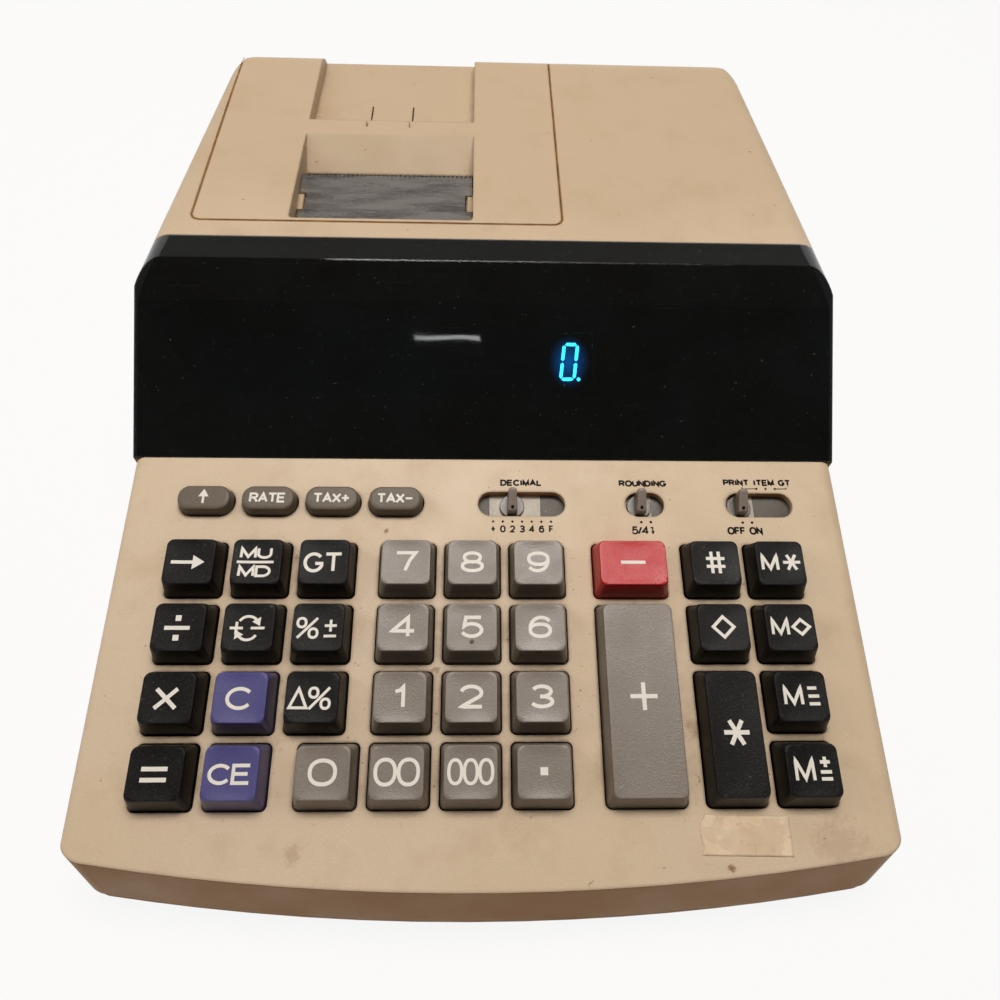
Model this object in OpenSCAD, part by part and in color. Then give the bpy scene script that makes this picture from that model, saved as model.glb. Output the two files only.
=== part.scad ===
// Desktop printing calculator with a sloping key deck, a dark display window across the full
// width, and a small printer under a sliding cover at the rear left.
// +X points right, +Y to the rear and +Z up. The origin is on the table under the case's middle.

/* [Case] */
// Width of the deck to the left of the left key block
left_margin = 16.85; // [15:0.05:24]
// Width of the deck to the right of the right key block
right_margin = 16.675; // [15:0.025:24]
// Distance from the middle of the oval keys and slide switches back to the window's foot
window_gap = 15.1; // [14.1:0.1:23]
// Slope of the key deck in degrees
deck_slope = 8; // [6:0.5:10]
// Height of the deck's front edge above the table
front_h = 26; // [25:0.5:31]
// How far the front face leans out between the deck edge and the case seam
front_lean = 5; // [3:0.5:8]
// How far the middle of the front edge bows ahead of its corners
front_bow = 8; // [6:0.5:14]
// Length of the display window's face, measured up its slope
window_len = 62.5; // [58:0.5:70]
// Slope of the display window's face in degrees
window_slope = 31.5; // [28:0.5:36]
// Length of the rear top, from the window's fold to the rear wall
rear_len = 129.5; // [126:0.5:140]
// Fall of the rear top toward the back in degrees
rear_fall = 2; // [0.5:0.25:3]
// How much each side has drawn in at the rear wall
rear_taper = 8.8; // [2:0.1:10]
// Wall thickness of the upper case
wall = 2.5; // [2.2:0.1:2.8]
// Radius along the deck's side edges
deck_edge_r = 4; // [3:0.25:6]
// Radius along the rear top's side edges
shoulder_r = 8; // [6:0.5:13]
// Radius along the rear top's back edge
back_edge_r = 12; // [4:0.5:14]
// Radius of the upright front corners
front_corner_r = 8; // [6:0.5:16]
// Radius of the upright rear corners
rear_corner_r = 30; // [8:0.5:34]
// Height of the seam between the two case halves
seam_h = 7; // [6.5:0.25:8]

/* [Lower case] */
// Thickness of the floor
floor_t = 2.5; // [2.2:0.1:2.8]
// How far the lower case stands back from the upper case's edge
rim_inset = 0.8; // [0.4:0.1:1.2]
// Height of the locating lip above the seam
lip_h = 3; // [2:0.5:5]
// Thickness of the locating lip
lip_t = 1.6; // [1.2:0.1:2.2]
// Clearance between the lip and the upper case's wall
lip_gap = 0.25; // [0.1:0.05:0.5]
// Height of the posts that carry the boards, the printer and the transformer
post_h = 8; // [7.5:0.25:10]
// Radius of those posts
post_r = 3.4; // [3:0.1:4]
// Height of the rubber feet below the floor
foot_h = 3; // [2:0.25:5]
// Radius of the rubber feet
foot_r = 6.5; // [5:0.25:9]
// Depth of the recess that holds each foot
foot_seat = 1; // [0.6:0.1:1.2]
// Distance of the feet from the case's outer edges
foot_inset = 24; // [20:1:32]

/* [Screws] */
// Radius of the screw shank
screw_r = 1.25; // [1:0.05:1.4]
// Length of the screw shank
screw_len = 8; // [7:0.25:9]
// Radius of the screw head
head_r = 2.7; // [2.2:0.1:3]
// Height of the screw head
head_h = 1.8; // [1.4:0.1:2]
// Radial clearance round the screw shank
screw_gap = 0.05; // [0.03:0.01:0.1]
// Radius of the bosses that take the case screws
boss_r = 4; // [3.6:0.1:4.5]

/* [Display] */
// Thickness of the window sheet
window_t = 2.5; // [2:0.1:3]
// How far the sheet folds back over the rear top
ledge_len = 10.6; // [8:0.2:13]
// How far the folded sheet reaches down over the shoulders
ledge_wrap = 9; // [6:0.5:10]
// Width of the display tube
tube_w = 128; // [110:1:140]
// Height of the display tube
tube_h = 25; // [22:0.5:28]
// Thickness of the display tube
tube_t = 7; // [6:0.5:9]
// Distance of the display tube's left end from the case's left side
tube_left = 18; // [12:0.5:30]
// Distance of the display tube's middle from the window's lower edge
tube_up = 31; // [29:0.5:33]
// Margin by which the tube overlaps the edge of its opening
tube_margin = 2.5; // [1.5:0.25:4]

/* [Keys] */
// Distance between key centres
key_pitch = 19.05; // [18.6:0.05:19.5]
// Gap between neighbouring keys, side to side
key_gap_x = 2.85; // [2.6:0.05:3.4]
// Gap between neighbouring keys, front to back
key_gap_y = 2.45; // [2.4:0.05:3]
// Distance of the front key row from the deck's front edge
row_front = 19.65; // [19:0.05:20.5]
// Width of the plus and minus keys
wide_key_w = 21.6; // [19:0.1:23]
// Gap between the left key block and the number block
number_gap = 7.2; // [6:0.1:10]
// Gap between the number block and the plus and minus keys
plus_gap = 8.65; // [6:0.05:12]
// Gap between the plus and minus keys and the right key block
right_gap = 5.175; // [3:0.025:9]
// Height of the key tops above the deck
key_h = 7; // [5.5:0.25:9]
// How far the key's sides lean in
key_side_in = 1.6; // [1:0.1:2.2]
// How far the key's front leans in
key_front_in = 2.1; // [1.2:0.1:3]
// How far the key's back leans in
key_back_in = 1.1; // [0.6:0.1:2]
// Corner radius of the keys
key_corner_r = 1.4; // [1:0.1:2]
// Clearance between a key and its hole
key_clear = 0.35; // [0.25:0.05:0.5]
// Width of the retaining flange round each key's foot
key_flange = 0.75; // [0.6:0.05:1]
// Thickness of the retaining flange
flange_t = 1.2; // [1:0.1:1.6]
// Thickness of the key caps
cap_t = 1.4; // [1:0.1:1.8]
// Radius of the key stems
stem_r = 2.2; // [1.6:0.1:2.8]
// Travel of the keys
key_travel = 3; // [2:0.25:3.5]
// Width of the oval function keys
oval_w = 16.4; // [14:0.1:16.6]
// Depth of the oval function keys
oval_d = 8.6; // [7:0.1:9.5]
// Height of the oval function keys above the deck
oval_h = 4; // [3:0.25:5]
// Distance from the back of the top key row to the middle of the oval keys and slide switches
upper_gap = 13.3; // [12.8:0.1:14]

/* [Slide switches] */
// Distance between switch positions
detent_pitch = 2.94; // [2.6:0.02:3.1]
// Width of the slots, front to back
slot_w = 8.1; // [7:0.1:8.6]
// Room beyond the lever at each end of its slot
slot_end = 0.8; // [0.5:0.1:1.5]
// Width of the lever's sliding plate
plate_w = 7.6; // [6:0.1:8]
// Clearance between the lever's plate and its slot
plate_gap = 0.3; // [0.2:0.05:0.5]
// Thickness of the lever's plate
plate_t = 1; // [0.8:0.1:1.2]
// Width of the lever's fin
fin_w = 2.6; // [2:0.1:3.2]
// Height of the fin's tip above the deck
fin_h = 5.2; // [4:0.1:6]
// Width of the lever's neck inside the switch
neck_w = 2; // [1.6:0.1:2.4]
// Distance of the decimal switch to the right of the number block's middle
decimal_shift = 15; // [13:0.1:16]
// Distance of the rounding switch to the right of the plus key's middle
rounding_shift = 6.4; // [5:0.1:8]
// Distance of the print switch to the right of the right block's middle
print_shift = 8.5; // [7:0.1:9]

/* [Keyboard] */
// Depth of the key board's upper face below the deck surface
board_depth = 12; // [11.8:0.1:13.5]
// Thickness of the circuit boards
board_t = 1.6; // [1.2:0.1:2]
// Thickness of the contact sheet
sheet_t = 1; // [0.8:0.1:1.2]
// Height of the contact sheet's pads
pad_h = 0.8; // [0.5:0.1:1]
// Clearance between the key board and the case walls
board_gap = 1; // [0.6:0.1:1.5]

/* [Printer cover] */
// Width of the printer cover
cover_w = 121; // [116:0.5:124]
// Distance of the cover's left edge from the case's left side at the deck
cover_left = 13.3; // [12:0.1:16]
// Distance of the cover's front edge behind the window's fold
cover_front = 18.7; // [17.5:0.1:19]
// Seam gap round the cover
cover_gap = 0.3; // [0.2:0.05:0.5]
// Corner radius of the cover's front corners
cover_r = 3; // [2:0.25:5]
// Width of the paper tray and of the paper exit well
paper_w = 60.4; // [59:0.2:62]
// Distance of the paper tape's middle from the case's left side
paper_left = 74.7; // [73.5:0.1:76]
// Distance of the tray's front wall behind the fold
tray_front = 77.4; // [76:0.2:80]
// Depth of the tray
tray_depth = 5.7; // [5:0.1:7]
// Distance of the well's front wall behind the fold
well_front = 20.2; // [20:0.1:21]
// Distance of the well's rear edge behind the fold
well_rear = 68.5; // [67:0.25:70]
// Depth of the well's side walls
well_depth = 10.5; // [10:0.25:12]
// Radius of the well's front corners
well_r = 1.5; // [0.5:0.25:3]
// Distance of the ramp's lower edge behind the fold
ramp_foot = 56; // [55.5:0.25:58]
// Depth of the ramp's lower edge
ramp_depth = 8; // [6:0.25:8.5]
// Thickness of the cover's inner walls
inner_t = 1.6; // [1.3:0.1:1.8]
// Width of the two tongue slits
slit_w = 0.5; // [0.4:0.1:1]
// Width of the tongue between the slits
tongue_w = 15.6; // [13:0.2:18]
// How far the tongue's middle lies left of the paper's middle
tongue_shift = 1.1; // [0:0.1:2]
// Length of the tongue slits on the tray floor
slit_len = 19; // [15:0.5:22]
// Height of the paper entry slot in the rear flap
entry_h = 5; // [4.6:0.1:6]
// Depth of the paper entry slot's middle below the rear top
entry_depth = 13.5; // [12.5:0.25:14.5]

/* [Paper cutter] */
// Thickness of the cutter
cutter_t = 1.6; // [1.2:0.1:2]
// Distance of the toothed edge behind the fold
cutter_edge = 50; // [48:0.25:50.5]
// Depth of the toothed edge below the rear top
cutter_high = 3.7; // [3:0.1:4.5]
// Depth of the cutter's front edge below the rear top
cutter_low = 7.4; // [6.5:0.1:8]
// Pitch of the cutter's teeth
tooth_pitch = 1.5; // [1:0.1:2.5]
// Depth of the cutter's teeth
tooth_d = 0.9; // [0.5:0.1:1.4]
// Clearance between the cutter and the well's walls
cutter_gap = 0.4; // [0.2:0.05:0.6]
// Length of the clip notches in the cutter's ends
clip_len = 8; // [6:0.25:10]
// Width of the clips
clip_w = 2; // [1.6:0.1:2.6]

/* [Printer] */
// Width of the printer frame
printer_w = 76; // [72:0.5:80]
// Thickness of the frame's plates
plate_thick = 2; // [1.6:0.1:2.4]
// Length of the frame, front to back
printer_len = 66; // [64:0.5:72]
// Distance of the frame's front edge behind the window's fold
printer_front = 16; // [14:0.5:18]
// Height of the drum's axis above the frame's base
drum_up = 32; // [31:0.25:34]
// Radius of the print drum
drum_r = 9; // [7:0.25:9.4]
// Radius of the rollers' shafts
shaft_r = 2.5; // [2:0.1:3]
// Running clearance of the shafts, on the radius
shaft_gap = 0.05; // [0.03:0.01:0.1]
// Radius of the ink roller
ink_r = 5.5; // [4.5:0.25:6]
// Radius of the paper feed roller
feed_r = 6; // [5:0.25:7]
// Radius of the printer motor
motor_r = 11; // [9:0.25:12]
// Length of the printer motor
motor_len = 30; // [24:0.5:36]
// Gear module
gear_m = 1; // [0.9:0.05:1.1]
// Thickness of the gears
gear_t = 4; // [3:0.25:5]

/* [Supply] */
// Width of the transformer's core
core_w = 46; // [40:0.5:50]
// Depth of the transformer's core
core_d = 30; // [24:0.5:34]
// Height of the transformer's core
core_h = 38; // [32:0.5:42]
// Distance of the transformer's middle from the case's right side
core_right = 48; // [44:0.5:52]
// Radius of the cord inlet's bore
cord_r = 3.6; // [3:0.1:4.2]
// Wall thickness of the cord inlet's bush
bush_t = 1.4; // [1.2:0.1:2]
// Distance of the cord inlet from the case's right side
cord_right = 64; // [60:1:68]
// Depth of the cord inlet below the rear top
cord_depth = 52; // [48:0.5:54]
// Clearance round the cord inlet's bush and round the rear panel
panel_gap = 0.15; // [0.1:0.05:0.3]
// Width of the rear panel that carries the cord inlet
panel_w = 42; // [38:1:44]
// Least width of the rear panel beside the cord inlet's bush
panel_side = 8; // [6:0.5:10]
// Distance of the rear panel's upper edge below the rear top
panel_drop = 22; // [18:0.5:30]
// Thickness of the rear panel's lap behind the upper case
lap_t = 1.4; // [1.2:0.1:2]
// Width of that lap
lap_w = 3; // [2:0.5:4]

/* [Hidden] */
$fn = 64;
// Margin by which cutting shapes pass through what they cut
over = 5;
far = 400;
// Amount by which a rounding arc passes its two faces, so that it cuts them and doesn't just touch
graze = 0.01;

beige = "#cbb08b";
charcoal = "#2b2a28";
grey = "#8d857c";
red = "#8f2226";
violet = "#4c4a8c";
board_green = "#5b7a4a";
steel = "#a9acae";

// Key sizes, and the deck's length and width from its rows and blocks of keys
key_w = key_pitch - key_gap_x;
key_d = key_pitch - key_gap_y;
last_row = 3;
upper_row = row_front + last_row * key_pitch + key_d + upper_gap;
deck_len = upper_row + window_gap;
block_w = 2 * key_pitch + key_w;
right_w = key_pitch + key_w;
keys_w = 2 * block_w + number_gap + plus_gap + wide_key_w + right_gap + right_w;
body_w = left_margin + keys_w + right_margin;
left_block_x = left_margin + (block_w - body_w) / 2;
number_block_x = left_block_x + block_w + number_gap;
wide_key_x = number_block_x + (block_w + wide_key_w) / 2 + plus_gap;
right_block_x = wide_key_x + (wide_key_w + right_w) / 2 + right_gap;

// Sideways places of what stands behind the keys
decimal_x = number_block_x + decimal_shift;
rounding_x = wide_key_x + rounding_shift;
print_x = right_block_x + print_shift;
tube_x = tube_left + (tube_w - body_w) / 2;
cover_x = cover_left + (cover_w - body_w) / 2;
paper_x = paper_left - body_w / 2;
core_x = body_w / 2 - core_right;
cord_x = body_w / 2 - cord_right;
bush_half = cord_r + bush_t;
panel_x0 = cover_x + cover_w / 2 + 2 * cover_gap;
panel_x1 = max(panel_x0 + panel_w, cord_x + bush_half + panel_side);

// Places along the case's side profile
deck_run = deck_len * cos(deck_slope);
window_run = window_len * cos(window_slope);
rear_run = rear_len * cos(rear_fall);
y_front = -(front_lean + deck_run + window_run + rear_run) / 2;
y_deck = y_front + front_lean;
y_win = y_deck + deck_run;
y_fold = y_win + window_run;
y_rear = y_fold + rear_run;
z_win = front_h + deck_len * sin(deck_slope);
z_fold = z_win + window_len * sin(window_slope);
lean = atan(front_lean / (front_h - seam_h));
taper = atan(rear_taper / rear_len);
// Place behind the fold where the shoulder's rounding starts to draw the cover's left edge down
dip_at = (cover_left * cos(taper) - shoulder_r) / sin(taper);
rail_back = max(cover_front + 10, min(rear_len - rear_corner_r, dip_at + 34));
bow_r = (pow(body_w / 2, 2) + pow(front_bow, 2)) / (2 * front_bow);
floor_z = foot_h + floor_t;
post_z = floor_z + post_h;

// Keys: name, middle column, first row, last row, width and colour
function left_col(c) = left_block_x + (c - 1) * key_pitch;
function number_col(c) = number_block_x + (c - 1) * key_pitch;
function right_col(c) = right_block_x + (c - 0.5) * key_pitch;
function row_y(r) = row_front + (last_row - r) * key_pitch;
KEYS = [
    ["key_shift", left_col(0), 0, 0, key_w, charcoal],
    ["key_markup", left_col(1), 0, 0, key_w, charcoal],
    ["key_grand_total", left_col(2), 0, 0, key_w, charcoal],
    ["key_7", number_col(0), 0, 0, key_w, grey],
    ["key_8", number_col(1), 0, 0, key_w, grey],
    ["key_9", number_col(2), 0, 0, key_w, grey],
    ["key_minus", wide_key_x, 0, 0, wide_key_w, red],
    ["key_count", right_col(0), 0, 0, key_w, charcoal],
    ["key_memory_total", right_col(1), 0, 0, key_w, charcoal],
    ["key_divide", left_col(0), 1, 1, key_w, charcoal],
    ["key_sign", left_col(1), 1, 1, key_w, charcoal],
    ["key_percent", left_col(2), 1, 1, key_w, charcoal],
    ["key_4", number_col(0), 1, 1, key_w, grey],
    ["key_5", number_col(1), 1, 1, key_w, grey],
    ["key_6", number_col(2), 1, 1, key_w, grey],
    ["key_plus", wide_key_x, 1, 3, wide_key_w, grey],
    ["key_subtotal", right_col(0), 1, 1, key_w, charcoal],
    ["key_memory_subtotal", right_col(1), 1, 1, key_w, charcoal],
    ["key_multiply", left_col(0), 2, 2, key_w, charcoal],
    ["key_clear", left_col(1), 2, 2, key_w, violet],
    ["key_change", left_col(2), 2, 2, key_w, charcoal],
    ["key_1", number_col(0), 2, 2, key_w, grey],
    ["key_2", number_col(1), 2, 2, key_w, grey],
    ["key_3", number_col(2), 2, 2, key_w, grey],
    ["key_total", right_col(0), 2, 3, key_w, charcoal],
    ["key_memory_minus", right_col(1), 2, 2, key_w, charcoal],
    ["key_equals", left_col(0), 3, 3, key_w, charcoal],
    ["key_clear_entry", left_col(1), 3, 3, key_w, violet],
    ["key_0", number_col(-1), 3, 3, key_w, grey],
    ["key_00", number_col(0), 3, 3, key_w, grey],
    ["key_000", number_col(1), 3, 3, key_w, grey],
    ["key_point", number_col(2), 3, 3, key_w, grey],
    ["key_memory_plus", right_col(1), 3, 3, key_w, charcoal]
];
function key_depth(k) = (k[3] - k[2]) * key_pitch + key_d;
function key_mid(k) = [k[1], row_y(k[3]) + key_depth(k) / 2];

// Oval function keys: name and middle column
OVALS = [
    ["key_paper_feed", left_col(0)],
    ["key_rate", left_col(1)],
    ["key_tax_plus", left_col(2)],
    ["key_tax_minus", left_col(3)]
];

// Slide switches: name, middle of the slot, number of positions, position at rest
SWITCHES = [
    ["lever_decimal", decimal_x, 7, 2],
    ["lever_rounding", rounding_x, 2, 0],
    ["lever_print", print_x, 5, 0]
];
function switch_travel(s) = (s[2] - 1) * detent_pitch;
function slot_len(s) = switch_travel(s) + plate_w + 2 * slot_end;
function lever_x(s) = s[1] - switch_travel(s) / 2 + s[3] * detent_pitch;

// Heights inside the key deck, measured from the deck surface
flange_top = -wall - 0.2;
flange_z = flange_top - flange_t;
board_z = -board_depth;
pad_z = board_z + sheet_t + pad_h;
stem_z = pad_z + key_travel + 0.25;
switch_top = -wall - 0.25;

// Screw places: bosses of the case, posts under the boards, printer and transformer
boss_sink = 0.8;
function side_x(y) = body_w / 2 - max(0, y - y_fold) * tan(taper);
function boss_x(y) = side_x(y) - wall - boss_r + boss_sink;
boss_y = [y_deck + 34, y_win + 12, y_rear - wall - rear_corner_r];
boss_seat = floor_z + 4;
head_seat = boss_seat - 2.4;
board_half = boss_x(y_deck) - boss_r - board_gap;
board_back = deck_len - 4;
board_posts = [
    [-60, row_front - 7.4],
    [60, row_front - 7.4],
    [4 - board_half, row_front + 4 * key_pitch + 2],
    [board_half - 4, row_front + 4 * key_pitch + 2]
];
main_w = 150;
main_y = [y_win - 6, y_fold + printer_front - 5];
main_posts = [
    [6 - main_w / 2, main_y[0] + 6],
    [main_w / 2 - 6, main_y[0] + 6],
    [6 - main_w / 2, main_y[1] - 6],
    [main_w / 2 - 6, main_y[1] - 6]
];

// Printer places: the drum leads and the others sit round it
printer_y = y_fold + printer_front;
drum_teeth = 32;
feed_teeth = 20;
pinion_teeth = 12;
drum_at = [printer_y + printer_len / 2, post_z + plate_thick + drum_up];
feed_dir = 207;
pinion_dir = -28;
ink_dir = 30;
function gear_r(teeth) = teeth * gear_m / 2;
function from_drum(dir, dist) = [drum_at[0] + dist * cos(dir), drum_at[1] + dist * sin(dir)];
feed_at = from_drum(feed_dir, gear_r(drum_teeth) + gear_r(feed_teeth));
pinion_at = from_drum(pinion_dir, gear_r(drum_teeth) + gear_r(pinion_teeth));
ink_at = from_drum(ink_dir, drum_r + ink_r + 0.3);
frame_x = [paper_x - printer_w / 2, paper_x + printer_w / 2];
gear_x = frame_x[1] + 0.6;
printer_posts = [
    for (x = [frame_x[0] + 10, frame_x[1] - 10], y = [printer_y + 5, printer_y + printer_len - 5]) [x, y]
];
core_y = y_rear - wall - core_d / 2 - 32;
core_flange = 8;
core_posts = [
    [core_x - core_w / 2 - core_flange / 2, core_y],
    [core_x + core_w / 2 + core_flange / 2, core_y]
];
floor_posts = concat(main_posts, printer_posts, core_posts);

// Frames that lie on the case's three upper faces
module on_deck() {
    translate([0, y_deck, front_h])
        rotate([deck_slope, 0, 0])
            children();
}

module on_window() {
    translate([0, y_win, z_win])
        rotate([window_slope, 0, 0])
            children();
}

module on_rear() {
    translate([0, y_fold, z_fold])
        rotate([-rear_fall, 0, 0])
            children();
}

// Draws a profile of Y and Z along X
module along_x(x0, x1) {
    translate([x0, 0, 0])
        rotate([90, 0, 90])
            linear_extrude(x1 - x0)
                children();
}

// Draws a section of X and Z along Y
module along_y(y0, y1) {
    translate([0, y1, 0])
        rotate([90, 0, 0])
            linear_extrude(y1 - y0)
                children();
}

module block(low, high) {
    translate(low)
        cube(high - low);
}

module rounded_rect(w, d, r) {
    square([w - 2 * r, d], center = true);
    square([w, d - 2 * r], center = true);
    for (x = [r - w / 2, w / 2 - r], y = [r - d / 2, d / 2 - r])
        translate([x, y])
            circle(r);
}

module stadium(w, d) {
    square([w - d, d], center = true);
    for (x = [d / 2 - w / 2, w / 2 - d / 2])
        translate([x, 0])
            circle(d / 2);
}

// Helpers for the case's side profile: a line is a point and a slope in degrees
function inset(p, slope, d) = [p[0] + d * sin(slope), p[1] - d * cos(slope)];
function height_on(p, slope, y) = p[1] + (y - p[0]) * tan(slope);
function meet(p, a, q, b) =
    let (y = (q[1] - p[1] + p[0] * tan(a) - q[0] * tan(b)) / (tan(a) - tan(b)))
    [y, height_on(p, a, y)];
function rear_point(s, n) = [
    y_fold + s * cos(rear_fall) + n * sin(rear_fall),
    z_fold - s * sin(rear_fall) + n * cos(rear_fall)
];

// Side profile of the case, with each face drawn in by its own amount
module side_profile(side, deck, window, top, base) {
    d = inset([y_deck, front_h], deck_slope, deck);
    w = inset([y_win, z_win], window_slope, window);
    t = inset([y_fold, z_fold], -rear_fall, top);
    s = rear_len - side;
    start = y_front - over;
    foot = (base - z_fold + s * sin(rear_fall)) / cos(rear_fall);
    polygon([
        [start, base],
        [start, height_on(d, deck_slope, start)],
        meet(d, deck_slope, w, window_slope),
        meet(w, window_slope, t, -rear_fall),
        rear_point(s, -top),
        rear_point(s, foot)
    ]);
}

// All of a section except the tip of the corner where its two faces meet
module rounded_corner(x, z, r) {
    translate([-far, -far])
        square([far + x - r, 2 * far]);
    translate([-far, -far])
        square([2 * far, far + z - r]);
    translate([x - r + graze, z - r + graze])
        circle(r);
}

// Plan of the front: a bowed edge that runs into round corners
module front_plan(side) {
    mid = y_front * cos(lean) + bow_r;
    r = max(front_corner_r - side, 0.5);
    bow = bow_r - side;
    x = body_w / 2 - side - r;
    y = -sqrt(pow(bow - r, 2) - pow(x, 2));
    translate([0, mid])
        intersection() {
            circle(bow, $fn = 720);
            union() {
                polygon([[0, 0], [-2 * x, 2 * y], [2 * x, 2 * y]]);
                translate([-far, y])
                    square([2 * far, 2 * far]);
                for (side_sign = [-1, 1])
                    translate([side_sign * (x + graze), y - graze])
                        circle(r);
            }
        }
}

// Plan of the rear, in the rear top's frame: sides that draw in, and round corners
module rear_plan(side) {
    r = max(rear_corner_r - side, 0.5);
    y = rear_len - side - r;
    x = draw_in(side + r, y);
    intersection() {
        polygon([
            [-draw_in(side, -far), -far], [draw_in(side, -far), -far],
            [draw_in(side, far), far], [-draw_in(side, far), far]
        ]);
        union() {
            polygon([
                [-far, -far], [far, -far],
                [x + far * cos(taper), y + far * sin(taper)], [x, y],
                [-x, y], [-x - far * cos(taper), y + far * sin(taper)]
            ]);
            translate([-x, -far])
                square([2 * x, 2 * far]);
            for (side_sign = [-1, 1])
                translate([side_sign * (x + graze), y + graze])
                    circle(r);
        }
    }
}

// Half width of the drawn-in rear at a place behind the fold, less a distance from its side
function draw_in(side, y) = body_w / 2 - (side + y * sin(taper)) / cos(taper);

// The whole case as one solid, with its sides, deck, window face and rear top drawn in
module body(side, deck, window, top, base) {
    half = body_w / 2 - side;
    intersection() {
        along_x(-half, half)
            side_profile(side, deck, window, top, base);
        translate([0, 0, seam_h])
            rotate([-lean, 0, 0])
                translate([0, 0, -far / 2])
                    linear_extrude(far)
                        front_plan(side);
        on_rear()
            translate([0, 0, -far / 2])
                linear_extrude(far)
                    rear_plan(side);
        union() {
            on_deck()
                along_y(-far, far)
                    intersection_for (flip = [0, 1])
                        mirror([flip, 0, 0])
                            rounded_corner(half, -deck, max(deck_edge_r - side, 0.5));
            block([-far, y_win, -far], [far, far, far]);
        }
        on_rear()
            intersection_for (flip = [0, 1])
                mirror([flip, 0, 0])
                    translate([body_w / 2, 0, 0])
                        rotate([0, 0, taper])
                            along_y(-far, far)
                                rounded_corner(-side, -top, max(shoulder_r - side, 0.5));
        on_rear()
            along_x(-far, far)
                rounded_corner(rear_len - side, -top, max(back_edge_r - side, 0.5));
    }
}

module outer_body() {
    body(0, 0, 0, 0, foot_h);
}

// Shelf inside the upper case, under the window sheet's ledge
module ledge_shelf() {
    half = body_w / 2 - shoulder_r;
    on_rear()
        block([-half, 0, -window_t - wall], [half, ledge_len + wall, -wall / 2]);
}

// The window sheet: a sloping face and a ledge that folds back and wraps the shoulders
module display_window() {
    color("#0d0f10")
        union() {
            intersection() {
                outer_body();
                on_window()
                    block([-far, 0, -window_t], [far, window_len, over]);
            }
            difference() {
                intersection() {
                    outer_body();
                    on_rear()
                        block([-far, -far, -ledge_wrap], [far, ledge_len, over]);
                    on_window()
                        block([-far, 0, -far], [far, far, far]);
                }
                body(window_t, window_t, window_t, window_t, -over);
            }
        }
}

// Space that the printer cover and its rear flap take out of the case
module cover_space(gap) {
    on_rear()
        translate([cover_x, 0, -far / 4])
            linear_extrude(far / 4 + over)
                front_rounded(cover_w + 2 * gap, cover_front - gap, cover_r);
}

// Plan that starts at a front edge with two round corners and goes on to the rear
module front_rounded(w, lead, r) {
    translate([-w / 2, lead + r])
        square([w, far]);
    translate([r - w / 2, lead])
        square([w - 2 * r, far]);
    for (x = [r - w / 2, w / 2 - r])
        translate([x, lead + r])
            circle(r);
}

// Rails under the cover's side edges, joined to the rear top beside them
module cover_rails() {
    rest = -wall - cover_gap;
    for (side_sign = [-1, 1])
        on_rear()
            translate([cover_x, 0, 0])
                mirror([side_sign < 0 ? 1 : 0, 0, 0]) {
                    block([cover_w / 2 + cover_gap, cover_front, rest - 2],
                          [cover_w / 2 + 3, rail_back, -wall / 2]);
                    block([cover_w / 2 - 3, cover_front, rest - 2],
                          [cover_w / 2 + 3, rail_back, rest]);
                }
}

module key_holes() {
    r = key_corner_r + key_clear;
    linear_extrude(2 * over, center = true) {
        for (k = KEYS)
            translate(key_mid(k))
                rounded_rect(k[4] + 2 * key_clear, key_depth(k) + 2 * key_clear, r);
        for (k = OVALS)
            translate([k[1], upper_row])
                stadium(oval_w + 2 * key_clear, oval_d + 2 * key_clear);
        for (s = SWITCHES)
            translate([s[1], upper_row])
                stadium(slot_len(s), slot_w);
    }
}

module case_bosses() {
    intersection() {
        for (y = boss_y, side_sign = [-1, 1])
            translate([side_sign * boss_x(y), y, boss_seat])
                cylinder(r = boss_r, h = far);
        body(wall / 2, wall / 2, window_t + wall / 2, window_t + wall / 2, foot_h);
    }
}

// Opening for the rear panel, beside the cover's flap and open down to the seam
module panel_opening() {
    on_rear()
        block([cover_x, rear_len - 2 * wall, -far / 4],
              [panel_x1 + panel_gap, rear_len + over, panel_gap - panel_drop]);
}

// Plate that carries the cord inlet and laps behind the upper case's edges
module rear_panel() {
    back = rear_len - wall - panel_gap;
    seam = (seam_h - z_fold + rear_len * sin(rear_fall)) / cos(rear_fall);
    low = seam + lip_h + 2 * lip_gap;
    color(beige)
        on_rear()
            difference() {
                union() {
                    block([panel_x0, rear_len - wall, seam + panel_gap], [panel_x1, rear_len, -panel_drop]);
                    block([panel_x0, back - lap_t, low], [panel_x1, rear_len - wall / 2, -panel_drop]);
                    block([panel_x0, back - lap_t, low], [panel_x1 + lap_w, back, lap_w - panel_drop]);
                }
                translate([cord_x, rear_len + over, -cord_depth])
                    rotate([90, 0, 0])
                        cylinder(r = bush_half + panel_gap, h = 3 * over);
            }
}

module upper_case() {
    color(beige)
        difference() {
            union() {
                difference() {
                    intersection() {
                        outer_body();
                        block([-far, -far, seam_h], [far, far, far]);
                    }
                    body(wall, wall, window_t + wall, wall, -over);
                    cover_space(cover_gap);
                }
                ledge_shelf();
                case_bosses();
                cover_rails();
                on_deck()
                    for (p = board_posts)
                        translate([p[0], p[1], board_z])
                            cylinder(r = post_r, h = board_depth - wall / 2);
            }
            display_window();
            on_deck()
                key_holes();
            on_window()
                translate([tube_x, tube_up, -window_t - wall / 2])
                    cube([tube_w - 2 * tube_margin, tube_h - 2 * tube_margin, 2 * wall], center = true);
            for (y = boss_y, side_sign = [-1, 1])
                translate([side_sign * boss_x(y), y, boss_seat - 1])
                    cylinder(r = screw_r + screw_gap, h = screw_len);
            on_deck()
                for (p = board_posts)
                    translate([p[0], p[1], board_z - 1])
                        cylinder(r = screw_r + screw_gap, h = screw_len);
            panel_opening();
        }
}

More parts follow.
